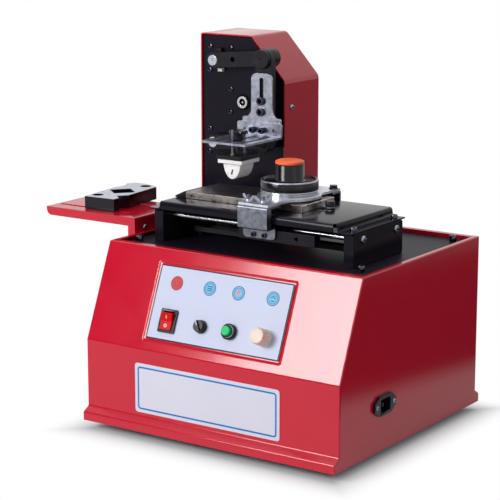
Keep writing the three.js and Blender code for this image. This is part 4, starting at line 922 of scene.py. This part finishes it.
class PADPRINTER_OT_inlet(PadPrinterOperator, bpy.types.Operator):
    """Builds the mains inlet, its contact pins and its two screws"""

    bl_idname = "pad_printer.inlet"
    bl_label = "Mains inlet"

    def execute(self, context):
        dress("power_inlet")
        face = on_box("power_inlet", x=1)
        heads = [moved(face, 0, y, 0, 90, "Y") for y in (-20, 20)]
        screws("inlet_screws", heads, 3, 1.6, DOME, "zinc")
        pins = [bar(mm(6, 2.2, 4.7), moved(face, -10.4, y, z)) for y, z in ((-7, -3), (0, 3), (7, -3))]
        put("inlet_pins", merged(pins), "ground_steel", edge=0.3)
        return {"FINISHED"}


class PADPRINTER_OT_sign(PadPrinterOperator, bpy.types.Operator):
    """Builds the bare sign plate with its printed border"""

    bl_idname = "pad_printer.sign"
    bl_label = "Sign plate"

    def execute(self, context):
        sign = settings(context, "sign")
        left_of_panel, sunk, height = mm(2.7, 0.1, 66.6)
        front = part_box("front_panel")[0].y + settings(context, "case").lip_out
        at = place_at(centre("control_panel").x - left_of_panel, front - sunk, height, "-Y")
        plate = rounded_plate(sign.width, sign.height, sign.corner, sign.thick, at)
        put("sign_plate", plate, "sign", edge=0.25)
        border = rounded_plate(
            sign.width - 2 * sign.inset, sign.height - 2 * sign.inset, sign.corner, INK,
            moved(at, z=sign.thick / MM), sign.line)
        put("sign_border", border, "border_print")
        return {"FINISHED"}


class PADPRINTER_OT_table(PadPrinterOperator, bpy.types.Operator):
    """Builds the folded table, its brackets, the guide rods, the steel plate and their screws"""

    bl_idname = "pad_printer.table"
    bl_label = "Table"

    def execute(self, context):
        dress("print_table", smooth=30, finish="black_gloss")
        dress("table_bracket_left", "table_bracket_right", edge=0.7, segments=3)
        dress("printing_plate", edge=0.3)
        # A darker skin on the plate's top: painted reflection of the tower and pad above it
        face_skin("printing_plate", "dark_steel_painted_reflection")
        dress("plate_clamp")
        left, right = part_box("table_bracket_left")[0].x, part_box("table_bracket_right")[1].x
        heads = []
        for node in ("guide_rod_front", "guide_rod_back"):
            middle = centre(node)
            half = (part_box(node)[1].x - middle.x) / MM
            rod = [(0, -half), (3.6, -half), (4, -half + 0.4), (4, half - 0.4), (3.6, half), (0, half)]
            turned(node, node + "_ground", rod, on_box(node, "X"), "ground_steel", steps=40)
            heads.append(place_at(right, middle.y, middle.z, "X"))
            heads.append(place_at(left, middle.y, middle.z, "-X"))
        screws("rod_end_screws", heads, 5.2, 2.6, DOME, "zinc", edge=0.2)
        table_low, table_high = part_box("print_table")
        above_bracket, from_front, from_back = mm(2, 22, -20)
        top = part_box("table_bracket_right")[1].z + above_bracket
        caps = [
            place_at(centre(bracket).x, y, top) for bracket in ("table_bracket_right", "table_bracket_left")
            for y in (table_low.y + from_front, table_high.y + from_back)]
        screws("table_cap_screws", caps, 4.3, 5, CYLINDER, edge=0.25)
        self.plate_stop()
        return {"FINISHED"}

    def plate_stop(self):
        """A knurled thumb screw on the table that holds the plate from the right."""
        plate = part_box("printing_plate")[1]
        at = moved(place_at(plate.x, centre("printing_plate").y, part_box("print_table")[1].z), 12, 9)
        profile = [
            (0, 0.1), (6.5, 0.1), (6.5, 1.2), (3.4, 1.2), (3.4, 2.4), (6.2, 2.8), (6.2, 9.2), (5.6, 9.8),
            (0, 9.8)]
        knob = fluted(profile, at, count=24, depth=0.05, reach=6, foot=2.6, sharp=1)
        put("plate_stop_knob", knob, "black_oxide")
        put("plate_stop_lug", bar(mm(15, 9, 2), moved(at, -3.5, 0, 2)), "zinc", edge=0.3)


class PADPRINTER_OT_cup(PadPrinterOperator, bpy.types.Operator):
    """Builds the ink cup, its yoke and carriage, the clamps and the wing nuts"""

    bl_idname = "pad_printer.cup"
    bl_label = "Ink cup and carriage"

    def execute(self, context):
        at = on_box("cup_ring", z=0)
        ring = [
            (30, 0), (36.4, 0), (37, 0.6), (37, 8.2), (36.1, 8.7), (36.1, 9.8), (37, 10.3), (37, 11.1),
            (36.6, 11.5), (30, 11.5)]
        turned("cup_ring", "cup_ring_ground", ring, at, "ground_steel", steps=96, edge=0.15, closed=True)
        body = [
            (0, 11.8), (36.5, 11.8), (37, 12.3), (37, 22.4), (36.4, 23.5), (35.2, 24.1), (33.4, 24.1),
            (32.6, 23.4), (32.0, 22.7), (20.0, 22.7), (19.0, 23.1), (18.5, 23.9), (18.5, 42.7), (18.0, 43.4),
            (0, 43.4)]
        turned("cup_body", "cup_body_turned", body, at, "black_plastic", steps=96, edge=0.2)
        # A thin bright zinc ring on the flange's rim: partly a metal ring, partly painted highlight of the
        # rim's edge
        rim = [
            (35.3, 23.9), (36.4, 23.2), (37.0, 22.6), (37.04, 22.9), (36.6, 23.7), (35.7, 24.3), (35.3, 24.3)]
        put("cup_rim_ring_painted_highlight", spun(rim, at, steps=96, closed=True), "zinc", CUP)
        cap = [
            (0, 43.7), (18.0, 43.7), (18.3, 44.1), (18.3, 46.4), (17.8, 47.3), (16.2, 48.1), (12, 49.1),
            (7, 49.6), (0, 49.75)]
        turned("cup_cap", "cup_cap_domed", cap, at, "orange_plastic", steps=72, edge=0.3)
        # The yoke takes a lighter copy of the zinc: painted highlight
        dress("cup_yoke", edge=0.6, segments=3, finish="zinc_painted_highlight")
        dress("carriage", edge=0.5)
        # The front clamp takes a darker copy of the zinc: painted shade
        dress("front_clamp", edge=0.7, segments=3, finish="zinc_painted_shade")
        dress("rear_clamp", edge=0.5, segments=3)
        self.wing_nut("wing_nut_left", -20)
        self.wing_nut("wing_nut_right", 20)
        self.clamp_screws()
        return {"FINISHED"}

    def wing_nut(self, node, turn):
        """A pressed wing nut: a waisted hub and two thin wings that stand up in a V."""
        at = moved(on_box(node, z=0), turn=turn)
        hub = [(2.6, 0), (4.3, 0), (4.3, 1.0), (3.6, 1.8), (3.4, 3.6), (3.0, 4.2), (2.6, 4.2)]
        width, height, corner, thick = 3.8, 12, 1.7, 1.3
        parts = [spun(hub, at, steps=32, closed=True)]
        for side in (-1, 1):
            blade = rounded_plate(*mm(width, height, corner, thick), segments=5)
            foot = moved(at, side * 2.4, 0, 0.6, side * 46, "Y")
            upright = moved(moved(foot, turn=90, axis="X"), 0, height / 2, -thick / 2)
            blade.transform(upright)
            parts.append(blade)
        put(node + "_pressed", merged(parts), "zinc", BODY_OF[node], (node,), edge=0.25)

    def clamp_screws(self):
        """Two cap screws in the front clamp's tongue and two hexagon nuts on the yoke's tails."""
        middle = centre("front_clamp").x
        tongue = place_at(middle, centre("carriage").y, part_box("front_clamp")[0].z, "-Y")
        heads = [moved(tongue, dx, 4.5, 68.8) for dx in (-8, 8)]
        screws("tongue_screws", heads, 3.4, 2.4, CYLINDER, body=CUP, edge=0.2)
        tails = place_at(middle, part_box("rear_clamp")[1].y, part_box("cup_yoke")[1].z)
        washer = [(2.4, 0), (6, 0), (6, 1), (2.4, 1)]
        nuts = []
        for dx in (-25.5, 25.5):
            nut = bmesh.new()
            bmesh.ops.create_cone(
                nut, cap_ends=True, segments=6, radius1=5 * MM, radius2=5 * MM, depth=3.6 * MM,
                matrix=moved(tails, dx, -8, 2.8))
            nuts += [nut, spun(washer, moved(tails, dx, -8), steps=32, closed=True)]
        put("rear_hex_nuts", merged(nuts), "screw_black", CUP, edge=0.3)


class PADPRINTER_OT_drive(PadPrinterOperator, bpy.types.Operator):
    """Builds the carriage belt and its pulleys, and finishes the parts inside the machine"""

    bl_idname = "pad_printer.drive"
    bl_label = "Drives"

    def execute(self, context):
        dress("carriage_belt", edge=0.0)
        half = 4.3
        groove = [(9.5, -half), (9.5, -3.3), (8, -3.3), (8, 3.3), (9.5, 3.3), (9.5, half)]
        for node, foot in (("drive_pulley", -14.0), ("idler_pulley", -9.7)):
            at = moved(on_box(node, z=1), z=-half)
            profile = [(0, foot), (4, foot), (4, -half), *groove, (0, half)]
            turned(node, node + "_turned", profile, at, SLOT_OF[node], edge=0.2)
        dress("carriage_motor", "power_supply", "control_board", "swing_motor", edge=0.6)
        dress("swing_belt", edge=0.0)
        dress("motor_pulley", edge=0.2)
        return {"FINISHED"}


class PADPRINTER_OT_tower(PadPrinterOperator, bpy.types.Operator):
    """Builds the tower's red cover, black plate and what is screwed to it"""

    bl_idname = "pad_printer.tower"
    bl_label = "Tower"

    def execute(self, context):
        dress("tower_cover", edge=0.7, segments=3, smooth=30)
        dress("tower_plate", edge=0.5)
        corner = on_box("tower_plate", "-Y", 0, 0, 1)
        # Screw centres, to the right of the plate's left edge and below its top
        spots = ((12, 14.5), (45.5, 15), (11, 46.4), (45.3, 70.2), (44.8, 101.1), (11.1, 125.7), (9.9, 157.1))
        heads = [moved(corner, x, -z) for x, z in spots]
        screws("tower_plate_screws", heads, settings(context, "screws").pan / 2 / MM, 2.2, DOME, edge=0.2)
        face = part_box("tower_plate")[0].y
        boss = place_at(centre("swing_motor").x, face, centre("motor_pulley").z, "-Y")
        ring = [(4.5, 0.2), (8.3, 0.2), (8.3, 2.6), (7.9, 3.2), (5.0, 3.2), (4.5, 2.6)]
        put("drive_boss_ring", spun(ring, boss, closed=True), "ground_steel", edge=0.2)
        # Near-black seat: painted shade inside the ring, and a dark collar behind it
        seat = [(0, 0.9), (4.4, 0.9), (4.4, 0.1), (10.8, 0.1), (10.8, 0.8), (10.2, 1.2), (8.4, 1.2)]
        put("drive_boss_painted_shade_seat", spun(seat, boss), "recess", edge=0.1)
        core = [(0, 2.2), (1.2, 2.2), (1.5, 1.8), (1.5, 1.0)]
        put("drive_boss_core", spun(core, boss, steps=24), "ground_steel")
        side_y, side_z = mm(93.7, 395.2)
        side = place_at(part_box("tower_cover")[1].x, side_y, side_z, "X")
        screws("cover_side_screw", [side], 4, 2.2, DOME, "zinc", edge=0.2)
        corner = on_box("tower_plate", "Z", 0, 0, 1)
        put("end_switch", bar(mm(8, 6, 5), moved(corner, 29, -3, -18.6)), "black_oxide", edge=0.5)
        put("end_flag", bar(mm(7, 6, 4.5), moved(corner, 30.8, -3, -45)), "white_print", edge=0.4)
        return {"FINISHED"}


class PADPRINTER_OT_head(PadPrinterOperator, bpy.types.Operator):
    """Builds the swing arms, shafts, carrier, brackets and the clamping knob"""

    bl_idname = "pad_printer.head"
    bl_label = "Swing arms and head"

    def execute(self, context):
        dress("upper_arm", "lower_arm", "pad_carrier", "stem_bracket", "angle_plate", edge=0.8, segments=3)
        dress("pad_holder", edge=0.5)
        self.guide_pins()
        for node in ("upper_shaft", "lower_shaft"):
            self.shaft(node)
        self.pin()
        self.knob()
        self.bracket_screws()
        return {"FINISHED"}

    def guide_pins(self):
        """Two ground pins beside the stud, each with a small nut where it enters the holder."""
        low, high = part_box("pad_holder")
        plate = 5.2
        tall = (high.z - low.z) / MM - plate + 0.2
        pin = [(0, 0), (1.3, 0), (1.3, tall - 0.3), (1.0, tall), (0, tall)]
        nut = [(1.3, 0), (2.7, 0), (2.7, 1.7), (2.3, 2.1), (1.3, 2.1)]
        parts = []
        for y in (-13.7, 13.7):
            at = moved(on_box("pad_holder", z=0), 0, y, plate)
            parts += [spun(pin, at, steps=20), spun(nut, at, steps=6, closed=True)]
        # The pins take a darker copy of the zinc: painted shade
        put("guide_pins_ground", merged(parts), "zinc_painted_shade", HEAD, edge=0.1)

    def across_arm(self, node):
        """The front end of a node that lies along Y, and its length in millimetres."""
        low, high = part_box(node)
        return on_box(node, "Y", y=0), (high.y - low.y) / MM

    def shaft(self, node):
        """A shaft end with a chamfer and a centre hole; its flanged pulley sits behind the tower plate."""
        at, end = self.across_arm(node)
        profile = [
            (0, 1.6), (1.2, 1.6), (2.2, 0), (6.9, 0), (7.5, 0.6), (7.5, end - 11.6), (15, end - 11.6),
            (15, end - 10.4), (13, end - 10.4), (13, end - 2.4), (15, end - 2.4), (15, end - 1.2),
            (7.5, end - 1.2), (7.5, end), (0, end)]
        turned(node, node + "_turned", profile, at, "ground_steel", edge=0.15)

    def pin(self):
        """The upper pivot: a broad thin head with a centre dimple, and the boss behind the arm."""
        at, end = self.across_arm("pivot_pin")
        profile = [
            (0, 1.0), (1.0, 1.0), (1.6, 0), (11.4, 0), (12.3, 0.9), (12.3, 5), (5, 5), (5, end - 1.7),
            (9, end - 1.7), (9, end - 0.4), (8.6, end), (0, end)]
        turned("pivot_pin", "pivot_pin_turned", profile, at, "black_oxide", steps=56, edge=0.2)

    def knob(self):
        """The lobed clamping knob on the pad holder's stud."""
        profile = [
            (0, 0), (6.0, 0), (6.6, 0.6), (6.6, 7.0), (7.4, 7.4), (10.8, 7.6), (12.2, 8.4), (12.2, 11.6),
            (11.2, 12.5), (7, 12.6), (6.4, 12.1), (0, 12.1)]
        at = on_box("pad_knob", z=0)
        knob = fluted(profile, at, count=7, depth=0.2, reach=7.1, foot=6.9, steps=98)
        put("pad_knob_lobed", knob, "black_plastic", "head_knob", ("pad_knob",))

    def bracket_screws(self):
        """Two cap screws in the stem bracket's slot and two in the angle plate."""
        stem = on_box("stem_bracket", "-Y", y=0, z=1)
        screws("stem_screws", [moved(stem, 0, -z) for z in (36, 50.4)], 5.6, 5, CYLINDER, body=HEAD, edge=0.3)
        angle = on_box("angle_plate", "-Y", y=1, z=1)
        heads = [moved(angle, dx, -9.5, 2.7) for dx in (-7.3, 7.3)]
        screws("angle_screws", heads, 4.1, 9, CYLINDER, body=HEAD, edge=0.3)


class PADPRINTER_OT_pad(PadPrinterOperator, bpy.types.Operator):
    """Builds the silicone pad: a flange and a loaf-shaped body that narrows to its printing crest"""

    bl_idname = "pad_printer.pad"
    bl_label = "Silicone pad"

    def execute(self, context):
        low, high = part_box("print_pad")
        middle = (low + high) / 2
        thick, corner, half_width, half_depth, overlap = mm(5.3, 1.2, 13.5, 15.4, 0.5)
        under_flange = high.z - thick
        flange = rounded_plate(
            high.x - low.x, high.y - low.y, corner, thick, place_at(middle.x, middle.y, under_flange),
            segments=4)
        put("pad_flange", flange, "silicone", HEAD, ("print_pad",), edge=0.8, segments=3)
        loaf = self.loaf(half_width, half_depth, under_flange - low.z + overlap)
        loaf.transform(place_at(middle.x, middle.y, under_flange + overlap))
        put("pad_loaf", loaf, "silicone", HEAD, edge=1.0, segments=4, smooth=50)
        # A thin black plate where the slit is: painted shade of the cut
        slit = moved(place_at(middle.x, middle.y - half_depth, low.z, "-Y"), 0.6, 9.5, turn=-14)
        put("pad_slit_painted_shade", rounded_plate(*mm(2.2, 7.2, 1.0, 0.15), slit), "rubber", HEAD)
        return {"FINISHED"}

    def loaf(self, half_width, half_depth, height):
        """A prism along Y whose end is an arch: upright at the flange and round at the printing crest."""
        steps, roundness = 40, 1.12
        bm = bmesh.new()
        angles = [math.pi * i / steps for i in range(steps + 1)]
        arch = [
            bm.verts.new((half_width * math.cos(a), -half_depth, -height * math.sin(a) ** roundness))
            for a in angles]
        lines = [bm.edges.new(pair) for pair in zip(arch, arch[1:])]
        lines.append(bm.edges.new((arch[-1], arch[0])))
        bmesh.ops.contextual_create(bm, geom=lines)
        extruded(bm, (0, 2 * half_depth, 0))
        return bm


class PADPRINTER_OT_shelf(PadPrinterOperator, bpy.types.Operator):
    """Builds the red work shelf and the black jig block"""

    bl_idname = "pad_printer.shelf"
    bl_label = "Shelf and jig"

    def execute(self, context):
        dress("work_shelf", edge=0.6, segments=3, smooth=30)
        dress("jig_block", edge=0.8, segments=3)
        # The jig's top is drawn lighter than its black sides: a painted reflection, laid on as a thin skin of
        # pale zinc
        face_skin("jig_block", "pale_zinc_painted_reflection")
        from_front, below_top = 21.1, 15.3
        spot = moved(on_box("work_shelf", "X", 1, 0, 1), below_top, from_front)
        screws("shelf_screw", [spot], 3.6, 2, DOME, "zinc")
        return {"FINISHED"}


class PADPRINTER_OT_stage(PadPrinterOperator, bpy.types.Operator):
    """Sets the floor, the soft boxes, the white surround and the camera"""

    bl_idname = "pad_printer.stage"
    bl_label = "Stage"

    def execute(self, context):
        stage = settings(context, "stage")
        self.floor()
        self.surround(context)
        self.soft_box("key", (-1.023, -2.505, 1.35), (0.07, -0.14, 0.18), 1.04, stage.key)
        self.soft_box("fill", (2.3, -0.7, 0.9), (0.1, 0.0, 0.2), 1.2, stage.fill)
        self.soft_box("top", (-0.2, 0.3, 2.3), (0.0, 0.0, 0.25), 2.5, stage.top)
        self.camera(context, stage.lens)
        context.scene.view_settings.view_transform = "Standard"
        return {"FINISHED"}

    def floor(self):
        """White paper that keeps the machine's shadow near it and is plain white far off."""
        half_size = 15
        bm = bmesh.new()
        bmesh.ops.create_grid(bm, x_segments=1, y_segments=1, size=half_size)
        floor = mesh_object("studio_floor", bm)
        paper = new_material("white paper floor")
        whiteness = self.away_from_machine(paper)
        white_share = add(
            paper, "Math", {0: self.rays_that_show_white(paper), 1: whiteness}, operation="MULTIPLY")
        matt = add(paper, "BsdfDiffuse", {"Color": "D8D8DC"})
        glow = add(paper, "Emission", {"Color": "FFFFFF", "Strength": self.floor_in_mirrors(paper)})
        mixed = add(paper, "MixShader", {0: white_share, 1: matt, 2: glow})
        add(paper, "OutputMaterial", {"Surface": mixed})
        floor.data.materials.append(paper)

    def away_from_machine(self, paper):
        """Zero under the machine and close by it, one where its shadow has ended."""
        low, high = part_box("base_plate")
        middle, half = (low + high) / 2, (high - low) / 2
        shadow_from, shadow_to = mm(-30, 55)
        point = add(paper, "TexCoord", output="Object")
        offset = add(paper, "VectorMath", {0: point, 1: (middle.x, middle.y, 0)}, operation="SUBTRACT")
        size = add(paper, "VectorMath", {0: offset}, operation="ABSOLUTE")
        beyond = add(paper, "VectorMath", {0: size, 1: (half.x, half.y, 0)}, operation="SUBTRACT")
        sides = add(paper, "SeparateXYZ", {"Vector": beyond}).node.outputs
        farther = add(paper, "Math", {0: sides["X"], 1: sides["Y"]}, operation="MAXIMUM")
        return add(
            paper, "MapRange", {"Value": farther, "From Min": shadow_from, "From Max": shadow_to},
            interpolation_type="SMOOTHERSTEP")

    def floor_in_mirrors(self, paper):
        """How bright reflections show the floor; the camera sees it plain white.

        Right of the machine it is a little dimmer, then black as with a flag, and dim beyond, as in the
        photographer's room, which keeps the glossy walls a deep red above their milky feet.
        """
        slant = (1, 0.21, 0)
        flag_middle, flag_half, flag_blur = 0.72, 0.24, 0.06
        point = add(paper, "TexCoord", output="Object")
        right = add(paper, "VectorMath", {0: point, 1: slant}, "Value", operation="DOT_PRODUCT")
        beside = {"Value": right, "From Min": 0.2, "From Max": 0.3, "To Min": 1.0, "To Max": 0.68}
        near = add(paper, "MapRange", beside)
        beyond = {"Value": right, "From Min": 0.9, "From Max": 1.1, "To Min": near, "To Max": 0.26}
        room = add(paper, "MapRange", beyond)
        offset = add(paper, "Math", {0: right, 1: flag_middle}, operation="SUBTRACT")
        distance = add(paper, "Math", {0: offset}, operation="ABSOLUTE")
        flagged = add(
            paper, "MapRange",
            {"Value": distance, "From Min": flag_half, "From Max": flag_half + flag_blur, "To Min": 0.04,
             "To Max": room})
        mirrored = add(paper, "LightPath", output="Is Glossy Ray")
        return add(paper, "MapRange", {"Value": mirrored, "To Min": 1.0, "To Max": flagged})

    def rays_that_show_white(self, owner):
        """One for the camera and for rays that metal or glass sends on, zero for diffuse light."""
        path = add(owner, "LightPath").node.outputs
        seen = add(owner, "Math", {0: path["Is Camera Ray"], 1: path["Is Glossy Ray"]}, operation="MAXIMUM")
        return add(owner, "Math", {0: seen, 1: path["Is Transmission Ray"]}, operation="MAXIMUM")

    def surround(self, context):
        """White all round for the camera and in reflections, but for a black flag ahead on the left.

        The glossy slope mirrors that flag, so it stays red beside the highlight of the main soft box.
        """
        flag = (-0.58, -0.74, 0.34)
        flag_edge, flag_core = 0.78, 0.9
        daylight = 0.27
        world = clear(bpy.data.worlds.new("white surround"))
        direction = add(world, "TexCoord", output="Generated")
        toward = add(world, "VectorMath", {0: direction, 1: flag}, "Value", operation="DOT_PRODUCT")
        flagged = add(
            world, "MapRange",
            {"Value": toward, "From Min": flag_edge, "From Max": flag_core, "To Min": 1.0, "To Max": 0.03})
        mirrored = add(world, "LightPath", output="Is Glossy Ray")
        white = add(world, "MapRange", {"Value": mirrored, "To Min": 1.0, "To Max": flagged})
        shown = self.rays_that_show_white(world)
        strength = add(world, "MapRange", {"Value": shown, "To Min": daylight, "To Max": white})
        backdrop = add(world, "Background", {"Color": "FFFFFF", "Strength": strength})
        add(world, "OutputWorld", {"Surface": backdrop})
        context.scene.world = world

    def soft_box(self, name, place, target, size, watts):
        light = bpy.data.lights.new(name + "_soft_box", "AREA")
        light.shape = "SQUARE"
        light.size = size
        light.energy = watts
        lamp = in_scene(name + "_soft_box", light)
        lamp.location = place
        lamp.rotation_euler = (Vector(target) - Vector(place)).to_track_quat("-Z", "Y").to_euler()

    def camera(self, context, lens):
        """The photograph's view: 34.5 degrees to the right of the front and 12.2 degrees up."""
        data = bpy.data.cameras.new("photo_camera")
        data.sensor_width = 36
        data.lens = lens
        data.clip_end = 50
        camera = in_scene("photo_camera", data)
        azimuth, elevation = math.radians(34.52), math.radians(12.243)
        level = math.cos(elevation)
        back = Vector((math.sin(azimuth) * level, -math.cos(azimuth) * level, math.sin(elevation)))
        camera.location = (1.328237, -1.902878, 0.720171)
        camera.rotation_euler = (-back).to_track_quat("-Z", "Y").to_euler()
        context.scene.camera = camera


class PADPRINTER_PT_sidebar(bpy.types.Panel):
    """Lists the sizes, the colours and the steps that build the machine"""

    bl_label = "Pad Printing Machine"
    bl_idname = "PADPRINTER_PT_sidebar"
    bl_space_type = "VIEW_3D"
    bl_region_type = "UI"
    bl_category = "Pad Printer"

    def draw(self, context):
        layout = self.layout
        for name, group in GROUPS.items():
            box = layout.box()
            box.label(text=name.capitalize())
            for prop in group.__annotations__:
                box.prop(settings(context, name), prop)
        for step in STEPS:
            layout.operator(step.bl_idname)


GROUPS = {
    "paint": PadPrinterPaint, "case": PadPrinterCase, "panel": PadPrinterPanel, "sign": PadPrinterSign,
    "screws": PadPrinterScrews, "stage": PadPrinterStage,
}
STEPS = (
    PADPRINTER_OT_finishes, PADPRINTER_OT_case, PADPRINTER_OT_deck, PADPRINTER_OT_panel,
    PADPRINTER_OT_controls, PADPRINTER_OT_inlet, PADPRINTER_OT_sign, PADPRINTER_OT_table, PADPRINTER_OT_cup,
    PADPRINTER_OT_drive, PADPRINTER_OT_tower, PADPRINTER_OT_head, PADPRINTER_OT_pad, PADPRINTER_OT_shelf,
    PADPRINTER_OT_stage,
)


def register():
    for cls in (*GROUPS.values(), *STEPS, PADPRINTER_PT_sidebar):
        bpy.utils.register_class(cls)
    for name, group in GROUPS.items():
        setattr(bpy.types.Scene, "pad_printer_" + name, bpy.props.PointerProperty(type=group))


def unregister():
    for name in GROUPS:
        delattr(bpy.types.Scene, "pad_printer_" + name)
    for cls in (*GROUPS.values(), *STEPS, PADPRINTER_PT_sidebar):
        bpy.utils.unregister_class(cls)


def main():
    register()
    for step in STEPS:
        group, call = step.bl_idname.split(".")
        getattr(getattr(bpy.ops, group), call)()


if __name__ == "__main__":
    main()
